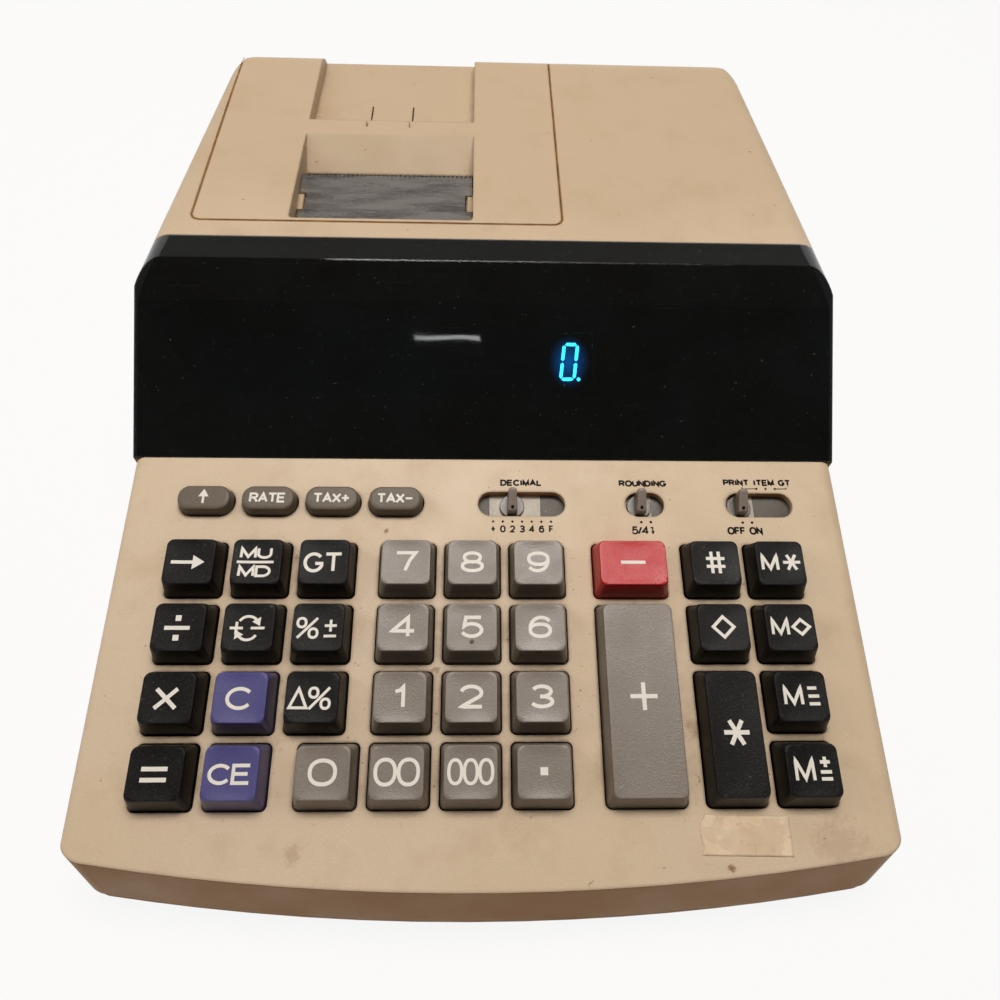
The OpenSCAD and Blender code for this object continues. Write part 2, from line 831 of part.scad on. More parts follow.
module lower_case() {
    lip = wall + lip_gap;
    color(beige)
        difference() {
            union() {
                difference() {
                    union() {
                        intersection() {
                            body(rim_inset, 0, 0, 0, foot_h);
                            block([-far, -far, foot_h], [far, far, seam_h]);
                        }
                        intersection() {
                            body(lip, 0, 0, 0, foot_h);
                            block([-far, -far, foot_h], [far, far, seam_h + lip_h]);
                        }
                    }
                    body(lip + lip_t, 0, 0, 0, floor_z);
                }
                intersection() {
                    for (y = boss_y, side_sign = [-1, 1])
                        translate([side_sign * boss_x(y), y, foot_h])
                            cylinder(r = boss_r, h = boss_seat - foot_h);
                    body(lip + 0.1, 0, 0, 0, foot_h);
                }
                for (p = floor_posts)
                    translate([p[0], p[1], floor_z - floor_t / 2])
                        cylinder(r = post_r, h = post_h + floor_t / 2);
            }
            for (y = boss_y, side_sign = [-1, 1])
                translate([side_sign * boss_x(y), y, 0]) {
                    cylinder(r = head_r + 0.4, h = head_seat);
                    cylinder(r = screw_r + 0.4, h = far / 4);
                    translate([0, 0, boss_seat])
                        cylinder(r = boss_r + lip_gap, h = lip_h + over);
                }
            for (p = floor_posts)
                translate([p[0], p[1], post_z - screw_len])
                    cylinder(r = screw_r + screw_gap, h = screw_len + over);
            for (p = feet_at)
                translate([p[0], p[1], foot_h - over])
                    cylinder(r = foot_r + 0.1, h = over + foot_seat);
        }
}

feet_at = [
    [-body_w / 2 + foot_inset, y_front + front_bow + foot_inset],
    [body_w / 2 - foot_inset, y_front + front_bow + foot_inset],
    [-body_w / 2 + foot_inset, y_rear - foot_inset],
    [body_w / 2 - foot_inset, y_rear - foot_inset]
];

module rubber_feet() {
    color("#3a3836")
        for (p = feet_at)
            translate([p[0], p[1], 0])
                cylinder(r = foot_r, h = foot_h + foot_seat);
}

// One screw with its head below the origin and its shank pointing up
module screw() {
    translate([0, 0, -head_h])
        cylinder(r = head_r, h = head_h);
    cylinder(r = screw_r, h = screw_len - 0.4);
}

module screws() {
    color(steel) {
        for (y = boss_y, side_sign = [-1, 1])
            translate([side_sign * boss_x(y), y, head_seat])
                screw();
        on_deck()
            for (p = board_posts)
                translate([p[0], p[1], board_z - board_t])
                    screw();
        for (p = main_posts)
            translate([p[0], p[1], post_z + board_t])
                mirror([0, 0, 1])
                    screw();
        for (p = concat(printer_posts, core_posts))
            translate([p[0], p[1], post_z + plate_thick])
                mirror([0, 0, 1])
                    screw();
    }
}

module display_tube() {
    back = -window_t - wall - tube_t;
    color("#23282a")
        on_window()
            translate([tube_x - tube_w / 2, tube_up - tube_h / 2, back])
                cube([tube_w, tube_h, tube_t]);
}

module key_board() {
    color(board_green)
        difference() {
            intersection() {
                on_deck()
                    block([-board_half, 0, board_z - board_t], [board_half, board_back, board_z]);
                body(wall + board_gap, 0, 0, 0, foot_h);
            }
            on_deck()
                for (p = board_posts)
                    translate([p[0], p[1], board_z - over])
                        cylinder(r = screw_r + 0.3, h = 2 * over);
        }
}

// Rubber sheet on the key board, with a raised contact pad under each key
module contact_sheet() {
    low = row_front - 1.5;
    high = row_y(0) + key_d + 1;
    wide = right_col(1) + key_w / 2;
    color("#5d5a57")
        on_deck() {
            block([left_col(0) - key_w / 2, low, board_z], [wide, high, board_z + sheet_t]);
            block([left_col(0) - oval_w / 4, high - 1, board_z],
                  [left_col(3) + oval_w / 4, upper_row + oval_d / 2, board_z + sheet_t]);
            for (p = concat([for (k = KEYS) key_mid(k)], [for (k = OVALS) [k[1], upper_row]]))
                translate([p[0], p[1], board_z])
                    cylinder(r = stem_r + 0.6, h = sheet_t + pad_h);
        }
}

module main_board() {
    color(board_green)
        difference() {
            block([-main_w / 2, main_y[0], post_z], [main_w / 2, main_y[1], post_z + board_t]);
            for (p = main_posts)
                translate([p[0], p[1], post_z - 1])
                    cylinder(r = screw_r + 0.3, h = over);
        }
}

// The two boards share a node, as two solids
module circuit_boards() {
    key_board();
    main_board();
}

// Laminated core on a mounting strap, with a coil that stands proud of both sides
module transformer() {
    coil_proud = 5;
    coil_in = 8;
    strap = core_w / 2 + core_flange;
    z0 = post_z + plate_thick;
    color("#6a6660")
        difference() {
            union() {
                translate([core_x - strap, core_y - core_d / 4, post_z])
                    cube([2 * strap, core_d / 2, plate_thick]);
                translate([core_x - core_w / 2, core_y - core_d / 2, z0])
                    cube([core_w, core_d, core_h]);
                translate([core_x - core_w / 2 + coil_in, core_y - core_d / 2 - coil_proud, z0 + coil_in])
                    cube([core_w - 2 * coil_in, core_d + 2 * coil_proud, core_h - 2 * coil_in]);
            }
            for (p = core_posts)
                translate([p[0], p[1], post_z - 1])
                    cylinder(r = screw_r + 0.3, h = over);
        }
}

// Ring of points round a rectangle with rounded corners
corner_steps = 3;
function ring(x0, x1, y0, y1, r, z) = [
    for (q = [0 : 3], i = [0 : corner_steps])
        let (a = 90 * q + 90 * i / corner_steps)
        [
            (q == 0 || q == 3 ? x1 - r : x0 + r) + r * cos(a),
            (q < 2 ? y1 - r : y0 + r) + r * sin(a),
            z
        ]
];

// Solid skin through a stack of equal rings, from the lowest to the highest
module ring_stack(rings) {
    n = len(rings[0]);
    top = n * (len(rings) - 1);
    polyhedron(
        points = [for (r = rings, p = r) p],
        faces = concat(
            [[for (i = [0 : n - 1]) i]],
            [
                for (j = [0 : len(rings) - 2], i = [0 : n - 1])
                    let (a = j * n + i, b = j * n + (i + 1) % n)
                    [a, a + n, b + n, b]
            ],
            [[for (i = [n - 1 : -1 : 0]) top + i]]
        )
    );
}

// Hollow tapered cap with a retaining flange and a stem
module key(k) {
    w = k[4] / 2;
    d = key_depth(k) / 2;
    r = key_corner_r;
    color(k[5])
        on_deck()
            translate(key_mid(k)) {
                difference() {
                    union() {
                        ring_stack([
                            ring(-w, w, -d, d, r, flange_z),
                            ring(-w, w, -d, d, r, 0),
                            ring(key_side_in - w, w - key_side_in, key_front_in - d, d - key_back_in,
                                 r, key_h)
                        ]);
                        block([-w - key_flange, -d - key_flange, flange_z],
                              [w + key_flange, d + key_flange, flange_top]);
                    }
                    block([key_side_in + cap_t - w, key_front_in + cap_t - d, flange_z - 1],
                          [w - key_side_in - cap_t, d - key_back_in - cap_t, key_h - cap_t]);
                }
                translate([0, 0, stem_z])
                    cylinder(r = stem_r, h = key_h - cap_t / 2 - stem_z);
            }
}

module oval_key(k) {
    color(grey)
        on_deck()
            translate([k[1], upper_row, 0]) {
                translate([0, 0, flange_z])
                    linear_extrude(oval_h - flange_z)
                        stadium(oval_w, oval_d);
                translate([0, 0, flange_z])
                    linear_extrude(flange_t)
                        stadium(oval_w + 2 * key_flange, oval_d + 2 * key_flange);
                translate([0, 0, stem_z])
                    cylinder(r = stem_r, h = oval_h / 2 - stem_z);
            }
}

// Sliding lever: an oval plate in the slot, a leaning fin on it and a neck into the switch
module lever(s) {
    plate_z = switch_top + 0.25;
    reach = slot_w / 2 - plate_gap;
    color(grey)
        on_deck()
            translate([lever_x(s), upper_row, 0])
                difference() {
                    union() {
                        translate([0, 0, plate_z])
                            linear_extrude(plate_t)
                                intersection() {
                                    circle(d = plate_w);
                                    square([plate_w, 2 * reach], center = true);
                                }
                        along_x(-fin_w / 2, fin_w / 2)
                            polygon([
                                [-reach + 0.3, plate_z + plate_t / 2],
                                [-reach + 0.5, fin_h * 0.4],
                                [-reach + 1.6, fin_h * 0.5],
                                [reach - 0.8, fin_h],
                                [reach, fin_h * 0.85],
                                [reach - 0.6, plate_z + plate_t / 2]
                            ]);
                        block([-neck_w / 2, -neck_w / 2, neck_z],
                              [neck_w / 2, neck_w / 2, plate_z + plate_t / 2]);
                    }
                    translate([0, -reach + 1.7, fin_h * 0.5 - 1])
                        rotate([-25, 0, 0])
                            cylinder(r = 0.45, h = over);
                }
}

neck_z = switch_top - 4;
switch_d = 10.6;

// Switch housings on the key board, with a slit for each lever's neck
module switch_bodies() {
    color("#77716a")
        on_deck()
            for (s = SWITCHES)
                translate([s[1], upper_row, 0]) {
                    half = slot_len(s) / 2 + 1.5;
                    slit = switch_travel(s) / 2 + neck_w / 2 + 0.4;
                    difference() {
                        block([-half, -switch_d / 2, board_z], [half, switch_d / 2, switch_top]);
                        block([-slit, -neck_w / 2 - 0.3, neck_z - 0.5], [slit, neck_w / 2 + 0.3, over]);
                    }
                }
}

// Walls of the paper exit well, drawn down from the cover's top
module well_walls() {
    x0 = paper_x - paper_w / 2;
    x1 = paper_x + paper_w / 2;
    lip = (well_front + cover_front) / 2;
    for (x = [x0 - inner_t, x1])
        block([x, lip, -well_depth], [x + inner_t, well_rear + inner_t, -wall / 2]);
    block([x0 - inner_t, cover_front + 0.1, -well_depth], [x1 + inner_t, well_front, -wall / 2]);
    along_x(x0 - inner_t, x1 + inner_t)
        polygon([
            [well_rear, 0], [well_rear + 3 * inner_t, -wall / 2],
            [ramp_foot + inner_t, -ramp_depth - inner_t], [ramp_foot, -ramp_depth]
        ]);
    // Sloping ledges that carry the cutter, and clips that hold its ends
    for (side_sign = [0, 1])
        translate([paper_x, 0, 0])
            mirror([side_sign, 0, 0]) {
                along_x(paper_w / 2 - 2.6, paper_w / 2 + inner_t / 2)
                    polygon([
                        [well_front - inner_t / 2, -cutter_low - cutter_t - 1.2],
                        [cutter_edge - 4, cutter_height(cutter_edge - 4) - cutter_t - 1.2],
                        [cutter_edge - 4, cutter_height(cutter_edge - 4) - cutter_t],
                        [well_front - inner_t / 2, cutter_height(well_front - inner_t / 2) - cutter_t]
                    ]);
                block([paper_w / 2 - clip_w, clip_y + 0.4, -well_depth],
                      [paper_w / 2 + inner_t / 2, clip_y + clip_len - 0.4, cutter_height(clip_y) + 1.4]);
            }
}

function cutter_height(s) =
    -cutter_low + (s - well_front) * (cutter_low - cutter_high) / (cutter_edge - well_front);
clip_y = well_front + 12;

module tray_walls() {
    x0 = paper_x - paper_w / 2 - inner_t;
    x1 = paper_x + paper_w / 2 + inner_t;
    block([x0, tray_front - inner_t, -tray_depth - inner_t], [x1, rear_len - wall / 2, -wall / 2]);
}

module printer_cover() {
    x0 = paper_x - paper_w / 2;
    x1 = paper_x + paper_w / 2;
    color(beige)
        difference() {
            union() {
                difference() {
                    intersection() {
                        outer_body();
                        cover_space(0);
                        block([-far, -far, seam_h + cover_gap], [far, far, far]);
                    }
                    body(wall, wall, wall, wall, -over);
                }
                on_rear()
                    well_walls();
                intersection() {
                    outer_body();
                    on_rear()
                        tray_walls();
                }
            }
            on_rear() {
                // Mouth of the well above the ramp and the ledges
                intersection() {
                    along_x(x0 - over, x1 + over)
                        polygon([
                            [well_front - over, over], [well_front - over, -cutter_low],
                            [well_front, -cutter_low], [cutter_edge, -cutter_high],
                            [ramp_foot, -ramp_depth], [well_rear, 0], [well_rear, over]
                        ]);
                    translate([paper_x, 0, -far / 8])
                        linear_extrude(far / 4)
                            front_rounded(paper_w, well_front, well_r);
                }
                block([x0, tray_front, -tray_depth], [x1, rear_len + over, over]);
                for (x = [-tongue_w / 2, tongue_w / 2])
                    translate([paper_x - tongue_shift + x, tray_front, 0])
                        block([-slit_w / 2, -4, -far / 8], [slit_w / 2, slit_len, over]);
                block([x0, rear_len - 2 * wall, -entry_depth - entry_h / 2],
                      [x1, rear_len + over, -entry_depth + entry_h / 2]);
            }
        }
}

// Clear tear-off plate: toothed rear edge and a notch for a clip in each end
module paper_cutter() {
    half = paper_w / 2 - cutter_gap;
    rise = atan((cutter_high - cutter_low) / (well_front - cutter_edge));
    len = (cutter_edge - well_front - cutter_gap) / cos(rise);
    teeth = floor(2 * half / tooth_pitch);
    color("#9aa0a2")
        on_rear()
            translate([paper_x, well_front + cutter_gap, cutter_height(well_front + cutter_gap) - cutter_t])
                rotate([rise, 0, 0])
                    linear_extrude(cutter_t * cos(rise))
                        difference() {
                            polygon(concat(
                                [[-half, 0], [half, 0]],
                                [
                                    for (i = [0 : 2 * teeth])
                                        [half - i * half / teeth, len - (i % 2 == 0 ? 0 : tooth_d)]
                                ]
                            ));
                            for (side_sign = [-1, 1])
                                translate([side_sign * half, (clip_y - well_front) + clip_len / 2])
                                    square([2 * clip_w + 2 * cutter_gap, clip_len], center = true);
                        }
}

// Gear with straight-flanked teeth, standing along X with a tooth at angle zero from +Y
module gear(teeth) {
    root = gear_r(teeth) - 1.25 * gear_m;
    tip = gear_r(teeth) + 0.9 * gear_m;
    step = 360 / teeth;
    polygon([
        for (i = [0 : teeth - 1], p = [[root, -0.34], [tip, -0.12], [tip, 0.12], [root, 0.34]])
            p[0] * [cos(step * (i + p[1])), sin(step * (i + p[1]))]
    ]);
}

module at_axis(at) {
    translate([0, at[0], at[1]])
        children();
}

module rod(x0, x1, r) {
    translate([x0, 0, 0])
        rotate([0, 90, 0])
            cylinder(r = r, h = x1 - x0);
}

// Two side plates on a base
module printer_frame() {
    top = ink_at[1] + shaft_r + 2.5;
    back = printer_y + printer_len;
    color(steel)
        difference() {
            union() {
                block([frame_x[0], printer_y, post_z], [frame_x[1], back, post_z + plate_thick]);
                for (x = [frame_x[0], frame_x[1] - plate_thick])
                    block([x, printer_y, post_z], [x + plate_thick, back, top]);
            }
            for (p = printer_posts)
                translate([p[0], p[1], post_z - 1])
                    cylinder(r = screw_r + 0.3, h = over);
            for (at = [drum_at, feed_at, ink_at])
                at_axis(at)
                    rod(frame_x[0] - 1, frame_x[1] + 1, shaft_r + shaft_gap);
            at_axis(pinion_at)
                rod(frame_x[1] - 2 * plate_thick, frame_x[1] + 1, shaft_r + shaft_gap);
        }
}

// A roller between the side plates, on a shaft that runs in both of them
module roller(r, shaft_end) {
    rod(frame_x[0] + plate_thick + 0.8, frame_x[1] - plate_thick - 0.8, r);
    rod(frame_x[0] - 1.5, shaft_end, shaft_r);
}

module shaft_gear(teeth, turn) {
    rotate([turn, 0, 0])
        along_x(gear_x, gear_x + gear_t)
            gear(teeth);
}

// Drum with rows of raised type bands and its gear
module print_drum() {
    band = 2.2;
    bands = floor((paper_w - 8) / (2 * band));
    color("#4a4845")
        at_axis(drum_at) {
            roller(drum_r - 0.6, gear_x + gear_t);
            for (i = [0 : bands - 1])
                translate([paper_x - bands * band + 2 * band * i, 0, 0])
                    rod(0, band, drum_r);
            shaft_gear(drum_teeth, feed_dir);
        }
}

module ink_roller() {
    color("#3b2f52")
        at_axis(ink_at)
            roller(ink_r, frame_x[1] + 0.3);
}

module feed_roller() {
    color("#3a3836")
        at_axis(feed_at) {
            roller(feed_r, gear_x + gear_t);
            shaft_gear(feed_teeth, feed_dir + 180 + 180 / feed_teeth);
        }
}

module printer_motor() {
    face = frame_x[1] - plate_thick;
    color(steel)
        at_axis(pinion_at)
            difference() {
                union() {
                    rod(face - motor_len, face, motor_r);
                    rod(face - motor_len - 3, face - motor_len + 1, motor_r / 3);
                }
                rod(face - motor_len / 2, face + 1, shaft_r + shaft_gap);
            }
}

module motor_pinion() {
    mesh = (pinion_dir - feed_dir) * drum_teeth / pinion_teeth;
    color("#d8d2c4")
        at_axis(pinion_at) {
            rod(frame_x[1] - plate_thick - motor_len / 2 + 1, gear_x + gear_t, shaft_r);
            shaft_gear(pinion_teeth, pinion_dir + 180 + 180 / pinion_teeth + mesh);
        }
}

// Bush that guards the cord inlet, with a rim on each side of the rear panel
module cord_bush() {
    rim = 1.2;
    neck = wall + panel_gap + lap_t;
    color(charcoal)
        on_rear()
            translate([cord_x, rear_len + rim, -cord_depth])
                rotate([90, 0, 0])
                    difference() {
                        union() {
                            cylinder(r = bush_half + 2.4, h = rim);
                            cylinder(r = bush_half, h = 2 * rim + neck);
                            translate([0, 0, rim + neck])
                                cylinder(r = bush_half + 2.2, h = rim);
                        }
                        translate([0, 0, -1])
                            cylinder(r = cord_r, h = 2 * rim + neck + 2);
                    }
}

upper_case();
lower_case();
display_window();
display_tube();
printer_cover();
paper_cutter();
circuit_boards();
contact_sheet();
transformer();
printer_frame();
print_drum();
ink_roller();
feed_roller();
printer_motor();
motor_pinion();
switch_bodies();
rubber_feet();
screws();
rear_panel();
cord_bush();
for (s = SWITCHES)
    lever(s);
for (k = KEYS)
    key(k);
for (k = OVALS)
    oval_key(k);
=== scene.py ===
import math
import random

import bpy
from mathutils import Matrix, Vector


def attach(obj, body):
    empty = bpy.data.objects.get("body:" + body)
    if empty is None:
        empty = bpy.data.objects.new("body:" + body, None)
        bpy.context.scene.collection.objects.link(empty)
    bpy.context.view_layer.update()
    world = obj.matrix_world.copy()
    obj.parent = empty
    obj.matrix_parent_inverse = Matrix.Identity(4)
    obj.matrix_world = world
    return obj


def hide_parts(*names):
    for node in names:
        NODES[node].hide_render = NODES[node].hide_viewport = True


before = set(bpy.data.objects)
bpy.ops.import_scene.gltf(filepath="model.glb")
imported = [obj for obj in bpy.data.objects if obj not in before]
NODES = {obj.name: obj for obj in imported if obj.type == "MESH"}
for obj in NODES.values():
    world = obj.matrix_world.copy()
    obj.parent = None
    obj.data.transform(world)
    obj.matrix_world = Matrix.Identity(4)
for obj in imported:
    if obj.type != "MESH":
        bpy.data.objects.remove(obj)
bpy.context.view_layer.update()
MM = 0.001

# The case's sizes in millimetres, as in the CAD source
DECK_LEN, DECK_SLOPE, FRONT_H, FRONT_LEAN = 121.8, 8.0, 26.0, 5.0
WINDOW_LEN, WINDOW_SLOPE = 62.5, 31.5
REAR_LEN, REAR_FALL = 129.5, 2.0


def run(length, slope):
    return length * math.cos(math.radians(slope))


def rise(length, slope):
    return length * math.sin(math.radians(slope))


Y_DECK = FRONT_LEAN - (FRONT_LEAN + run(DECK_LEN, DECK_SLOPE) + run(WINDOW_LEN, WINDOW_SLOPE)
                       + run(REAR_LEN, REAR_FALL)) / 2
Y_WIN = Y_DECK + run(DECK_LEN, DECK_SLOPE)
Z_WIN = FRONT_H + rise(DECK_LEN, DECK_SLOPE)
Y_FOLD = Y_WIN + run(WINDOW_LEN, WINDOW_SLOPE)
Z_FOLD = Z_WIN + rise(WINDOW_LEN, WINDOW_SLOPE)


def face_frame(y, z, slope):
    return Matrix.Translation((0, y, z)) @ Matrix.Rotation(math.radians(slope), 4, "X")


DECK = face_frame(Y_DECK, FRONT_H, DECK_SLOPE)
WINDOW = face_frame(Y_WIN, Z_WIN, WINDOW_SLOPE)
REAR = face_frame(Y_FOLD, Z_FOLD, -REAR_FALL)


# Camera and light

# The camera's lens and sensor in millimetres, its nearest sight in metres, its place in the part's
# millimetres, and the directions to the right and upward in its picture
LENS, SENSOR, NEAREST = 27.74, 36.0, 0.01
CAMERA_AT = Vector((-3.4, -166.05, 243.2))
CAMERA_RIGHT, CAMERA_UP = Vector((0.99952, -0.0113, 0.0288)), Vector((-0.0054, 0.8527, 0.5223))
LAMPS = (
    # name, place and aim in metres, width and length, power and colour
    ("key_light", (0.05, 0.18, 0.95), (0, -0.04, 0.03), (0.58, 0.26), 6.95, (1.0, 0.965, 0.92)),
    ("left_fill", (-0.9, 0.1, 0.65), (0, 0, 0.03), (0.6, 0.6), 1.9, (1.0, 0.98, 0.95)),
    ("front_fill", (0.35, -1.1, 0.45), (0, -0.05, 0.03), (0.8, 0.5), 0.34, (1.0, 0.80, 0.58)),
    ("back_card", (0, 1.07, 0.85), (0, 0.03, 0.07), (1.3, 0.5), 0.42, (1.0, 0.97, 0.90)),
    ("window_glint", (-0.05, -0.32, 0.97), (-0.05, 0.01, 0.06), (0.10, 0.006), 0.016, (0.96, 1.0, 0.98)),
)
SKY_COLOUR, SKY_STRENGTH = (1.0, 0.93, 0.84, 1), 0.09


def camera():
    cam = bpy.data.cameras.new("camera")
    cam.lens, cam.sensor_width, cam.clip_start = LENS, SENSOR, NEAREST
    ob = bpy.data.objects.new("camera", cam)
    bpy.context.collection.objects.link(ob)
    m = Matrix((CAMERA_RIGHT, CAMERA_UP, CAMERA_RIGHT.cross(CAMERA_UP))).transposed().to_4x4()
    m.translation = CAMERA_AT * MM
    ob.matrix_world = m
    bpy.context.scene.camera = ob


def lamp(name, at, aim, size, power, colour):
    data = bpy.data.lights.new(name, "AREA")
    data.shape, data.size, data.size_y = "RECTANGLE", size[0], size[1]
    data.energy, data.color = power, colour
    ob = bpy.data.objects.new(name, data)
    ob.location = at
    ob.rotation_euler = (Vector(aim) - Vector(at)).to_track_quat("-Z", "Y").to_euler()
    bpy.context.collection.objects.link(ob)


camera()
for row in LAMPS:
    lamp(*row)

world = bpy.data.worlds.new("world")
bpy.context.scene.world = world
world.use_nodes = True
world.node_tree.nodes["Background"].inputs["Color"].default_value = SKY_COLOUR
world.node_tree.nodes["Background"].inputs["Strength"].default_value = SKY_STRENGTH
bpy.context.scene.view_settings.view_transform = "Standard"


# Materials

class Mat:
    """A node material with a Principled shader, and short ways to feed it."""

    def __init__(self, name, **sockets):
        self.m = bpy.data.materials.new(name)
        self.m.use_nodes = True
        self.t = self.m.node_tree
        self.b = self.t.nodes["Principled BSDF"]
        self.b.inputs["Specular IOR Level"].default_value = 0.5
        for key, value in sockets.items():
            self.b.inputs[key.replace("_", " ")].default_value = value
        self.at = self.t.nodes.new("ShaderNodeTexCoord").outputs["Object"]

    def node(self, kind, values=None, **props):
        n = self.t.nodes.new(kind)
        for key, value in props.items():
            setattr(n, key, value)
        for key, value in (values or {}).items():
            if hasattr(value, "is_output"):
                self.t.links.new(value, n.inputs[key])
            else:
                n.inputs[key].default_value = value
        return n

    def noise(self, scale, detail, rough=0.55, at=None, distort=0.0):
        return self.node("ShaderNodeTexNoise", {"Vector": at or self.at, "Scale": scale, "Detail": detail,
                                                "Roughness": rough, "Distortion": distort}).outputs["Fac"]

    def ramp(self, fac, low, high, to=(0.0, 1.0)):
        return self.node("ShaderNodeMapRange", {"Value": fac, "From Min": low, "From Max": high,
                                                "To Min": to[0], "To Max": to[1]}).outputs["Result"]

    def math(self, op, a, b):
        return self.node("ShaderNodeMath", {0: a, 1: b}, operation=op).outputs[0]

    def mix(self, fac, a, b):
        def colour(v):
            return v if hasattr(v, "is_output") else (*v, 1.0)
        return self.node("ShaderNodeMix", {0: fac, 6: colour(a), 7: colour(b)},
                         data_type="RGBA").outputs[2]

    def stretch(self, scale):
        return self.node("ShaderNodeMapping", {"Vector": self.at, "Scale": scale}).outputs[0]

    def bump(self, height, distance, strength=1.0, under=None):
        values = {"Height": height, "Distance": distance, "Strength": strength}
        if under:
            values["Normal"] = under
        return self.node("ShaderNodeBump", values).outputs[0]

    def rounded(self, radius):
        """Normals that turn softly over the sharp edges."""
        return self.node("ShaderNodeBevel", {"Radius": radius}, samples=4).outputs[0]

    def open_sky(self, distance):
        """One in the open, falling toward nought in corners and gaps."""
        return self.node("ShaderNodeAmbientOcclusion", {"Distance": distance}, samples=4).outputs["AO"]

    def facing(self, axis):
        """How far a face looks along an axis, from one to minus one."""
        normal = self.node("ShaderNodeNewGeometry").outputs["True Normal"]
        return self.node("ShaderNodeSeparateXYZ", {0: normal}).outputs[axis]

    def away_from(self, place, at=None):
        """Distance from a place given in metres."""
        return self.node("ShaderNodeVectorMath", {0: at or self.at, 1: place},
                         operation="DISTANCE").outputs["Value"]

    def feed(self, socket, value):
        self.t.links.new(value, self.b.inputs[socket])


def tint(c, k):
    return tuple(min(1.0, v * k) for v in c)


def srgb(r, g, b):
    def lin(v):
        v /= 255
        return v / 12.92 if v <= 0.04045 else ((v + 0.055) / 1.055) ** 2.4
    return lin(r), lin(g), lin(b)


def moulded(name, colour, rough, grain=2600.0, depth=0.00006, mottle=0.10, dust=0.25, wear=None,
            gloss=0.5, shade=0.85, painted_glint=0.0):
    """Grained moulded plastic: cloudy colour, fine grain, dust, painted glints, painted shade on the sides
    and low down in gaps, and a polish that varies.
    """
    m = Mat(name, Specular_IOR_Level=gloss)
    cloud = m.noise(38, 4)
    base = m.mix(cloud, tint(colour, 1 - mottle), tint(colour, 1 + mottle))
    fine = m.noise(1500, 2)
    base = m.mix(m.ramp(fine, 0.35, 0.7), base, tint(colour, 0.86))
    # Painted glints: fine specks mixed toward a much lighter tone.
    base = m.mix(m.ramp(m.noise(2000, 1, 0.5), 0.54, 0.70, (0.0, painted_glint)), base, tint(colour, 5.0))
    specks = m.ramp(m.noise(620, 2, 0.7), 0.68, 0.76)
    base = m.mix(m.math("MULTIPLY", specks, dust), base, srgb(176, 160, 138))
    if wear:
        edge = m.node("ShaderNodeNewGeometry").outputs["Pointiness"]
        rub = m.math("MULTIPLY", m.ramp(edge, 0.52, 0.60), m.ramp(m.noise(240, 3), 0.4, 0.65))
        base = m.mix(m.math("MULTIPLY", rub, 0.6), base, wear)
    # Painted shade: faces turned away from up are mixed toward a darker tone, by the shade share.
    base = m.mix(m.ramp(m.facing("Z"), 0.55, 0.25, (0.0, 0.5 * shade)), base, tint(colour, 0.3))
    # Painted shade: darker where the open-sky mask finds gaps and corners, by the shade share.
    base = m.mix(m.ramp(m.open_sky(0.006), 0.90, 0.38, (0.0, shade)), base, tint(colour, 0.25))
    m.feed("Base Color", base)
    m.feed("Roughness", m.ramp(m.noise(95, 4), 0.3, 0.7, (rough - 0.09, rough + 0.08)))
    m.feed("Normal", m.bump(m.noise(grain, 2, 0.6), depth))
    return m.m


STAINS = [
    # deck frame x, y, reach in mm, and strength
    (-50.0, 9.0, 3.0, 0.28), (62.9, 5.3, 1.2, 0.9), (57.5, 40.0, 3.6, 0.35), (-14.5, 56.0, 1.5, 0.7),
    (33.0, 30.0, 6.0, 0.18), (-58.5, 36.5, 4.0, 0.22), (92.0, 10.0, 8.0, 0.18), (-30.5, 97.5, 1.0, 0.8),
]
# How far a stain's edge wanders and how much of it is solid, as shares of its reach
RAGGED, SOLID_PART = 0.7, 0.4


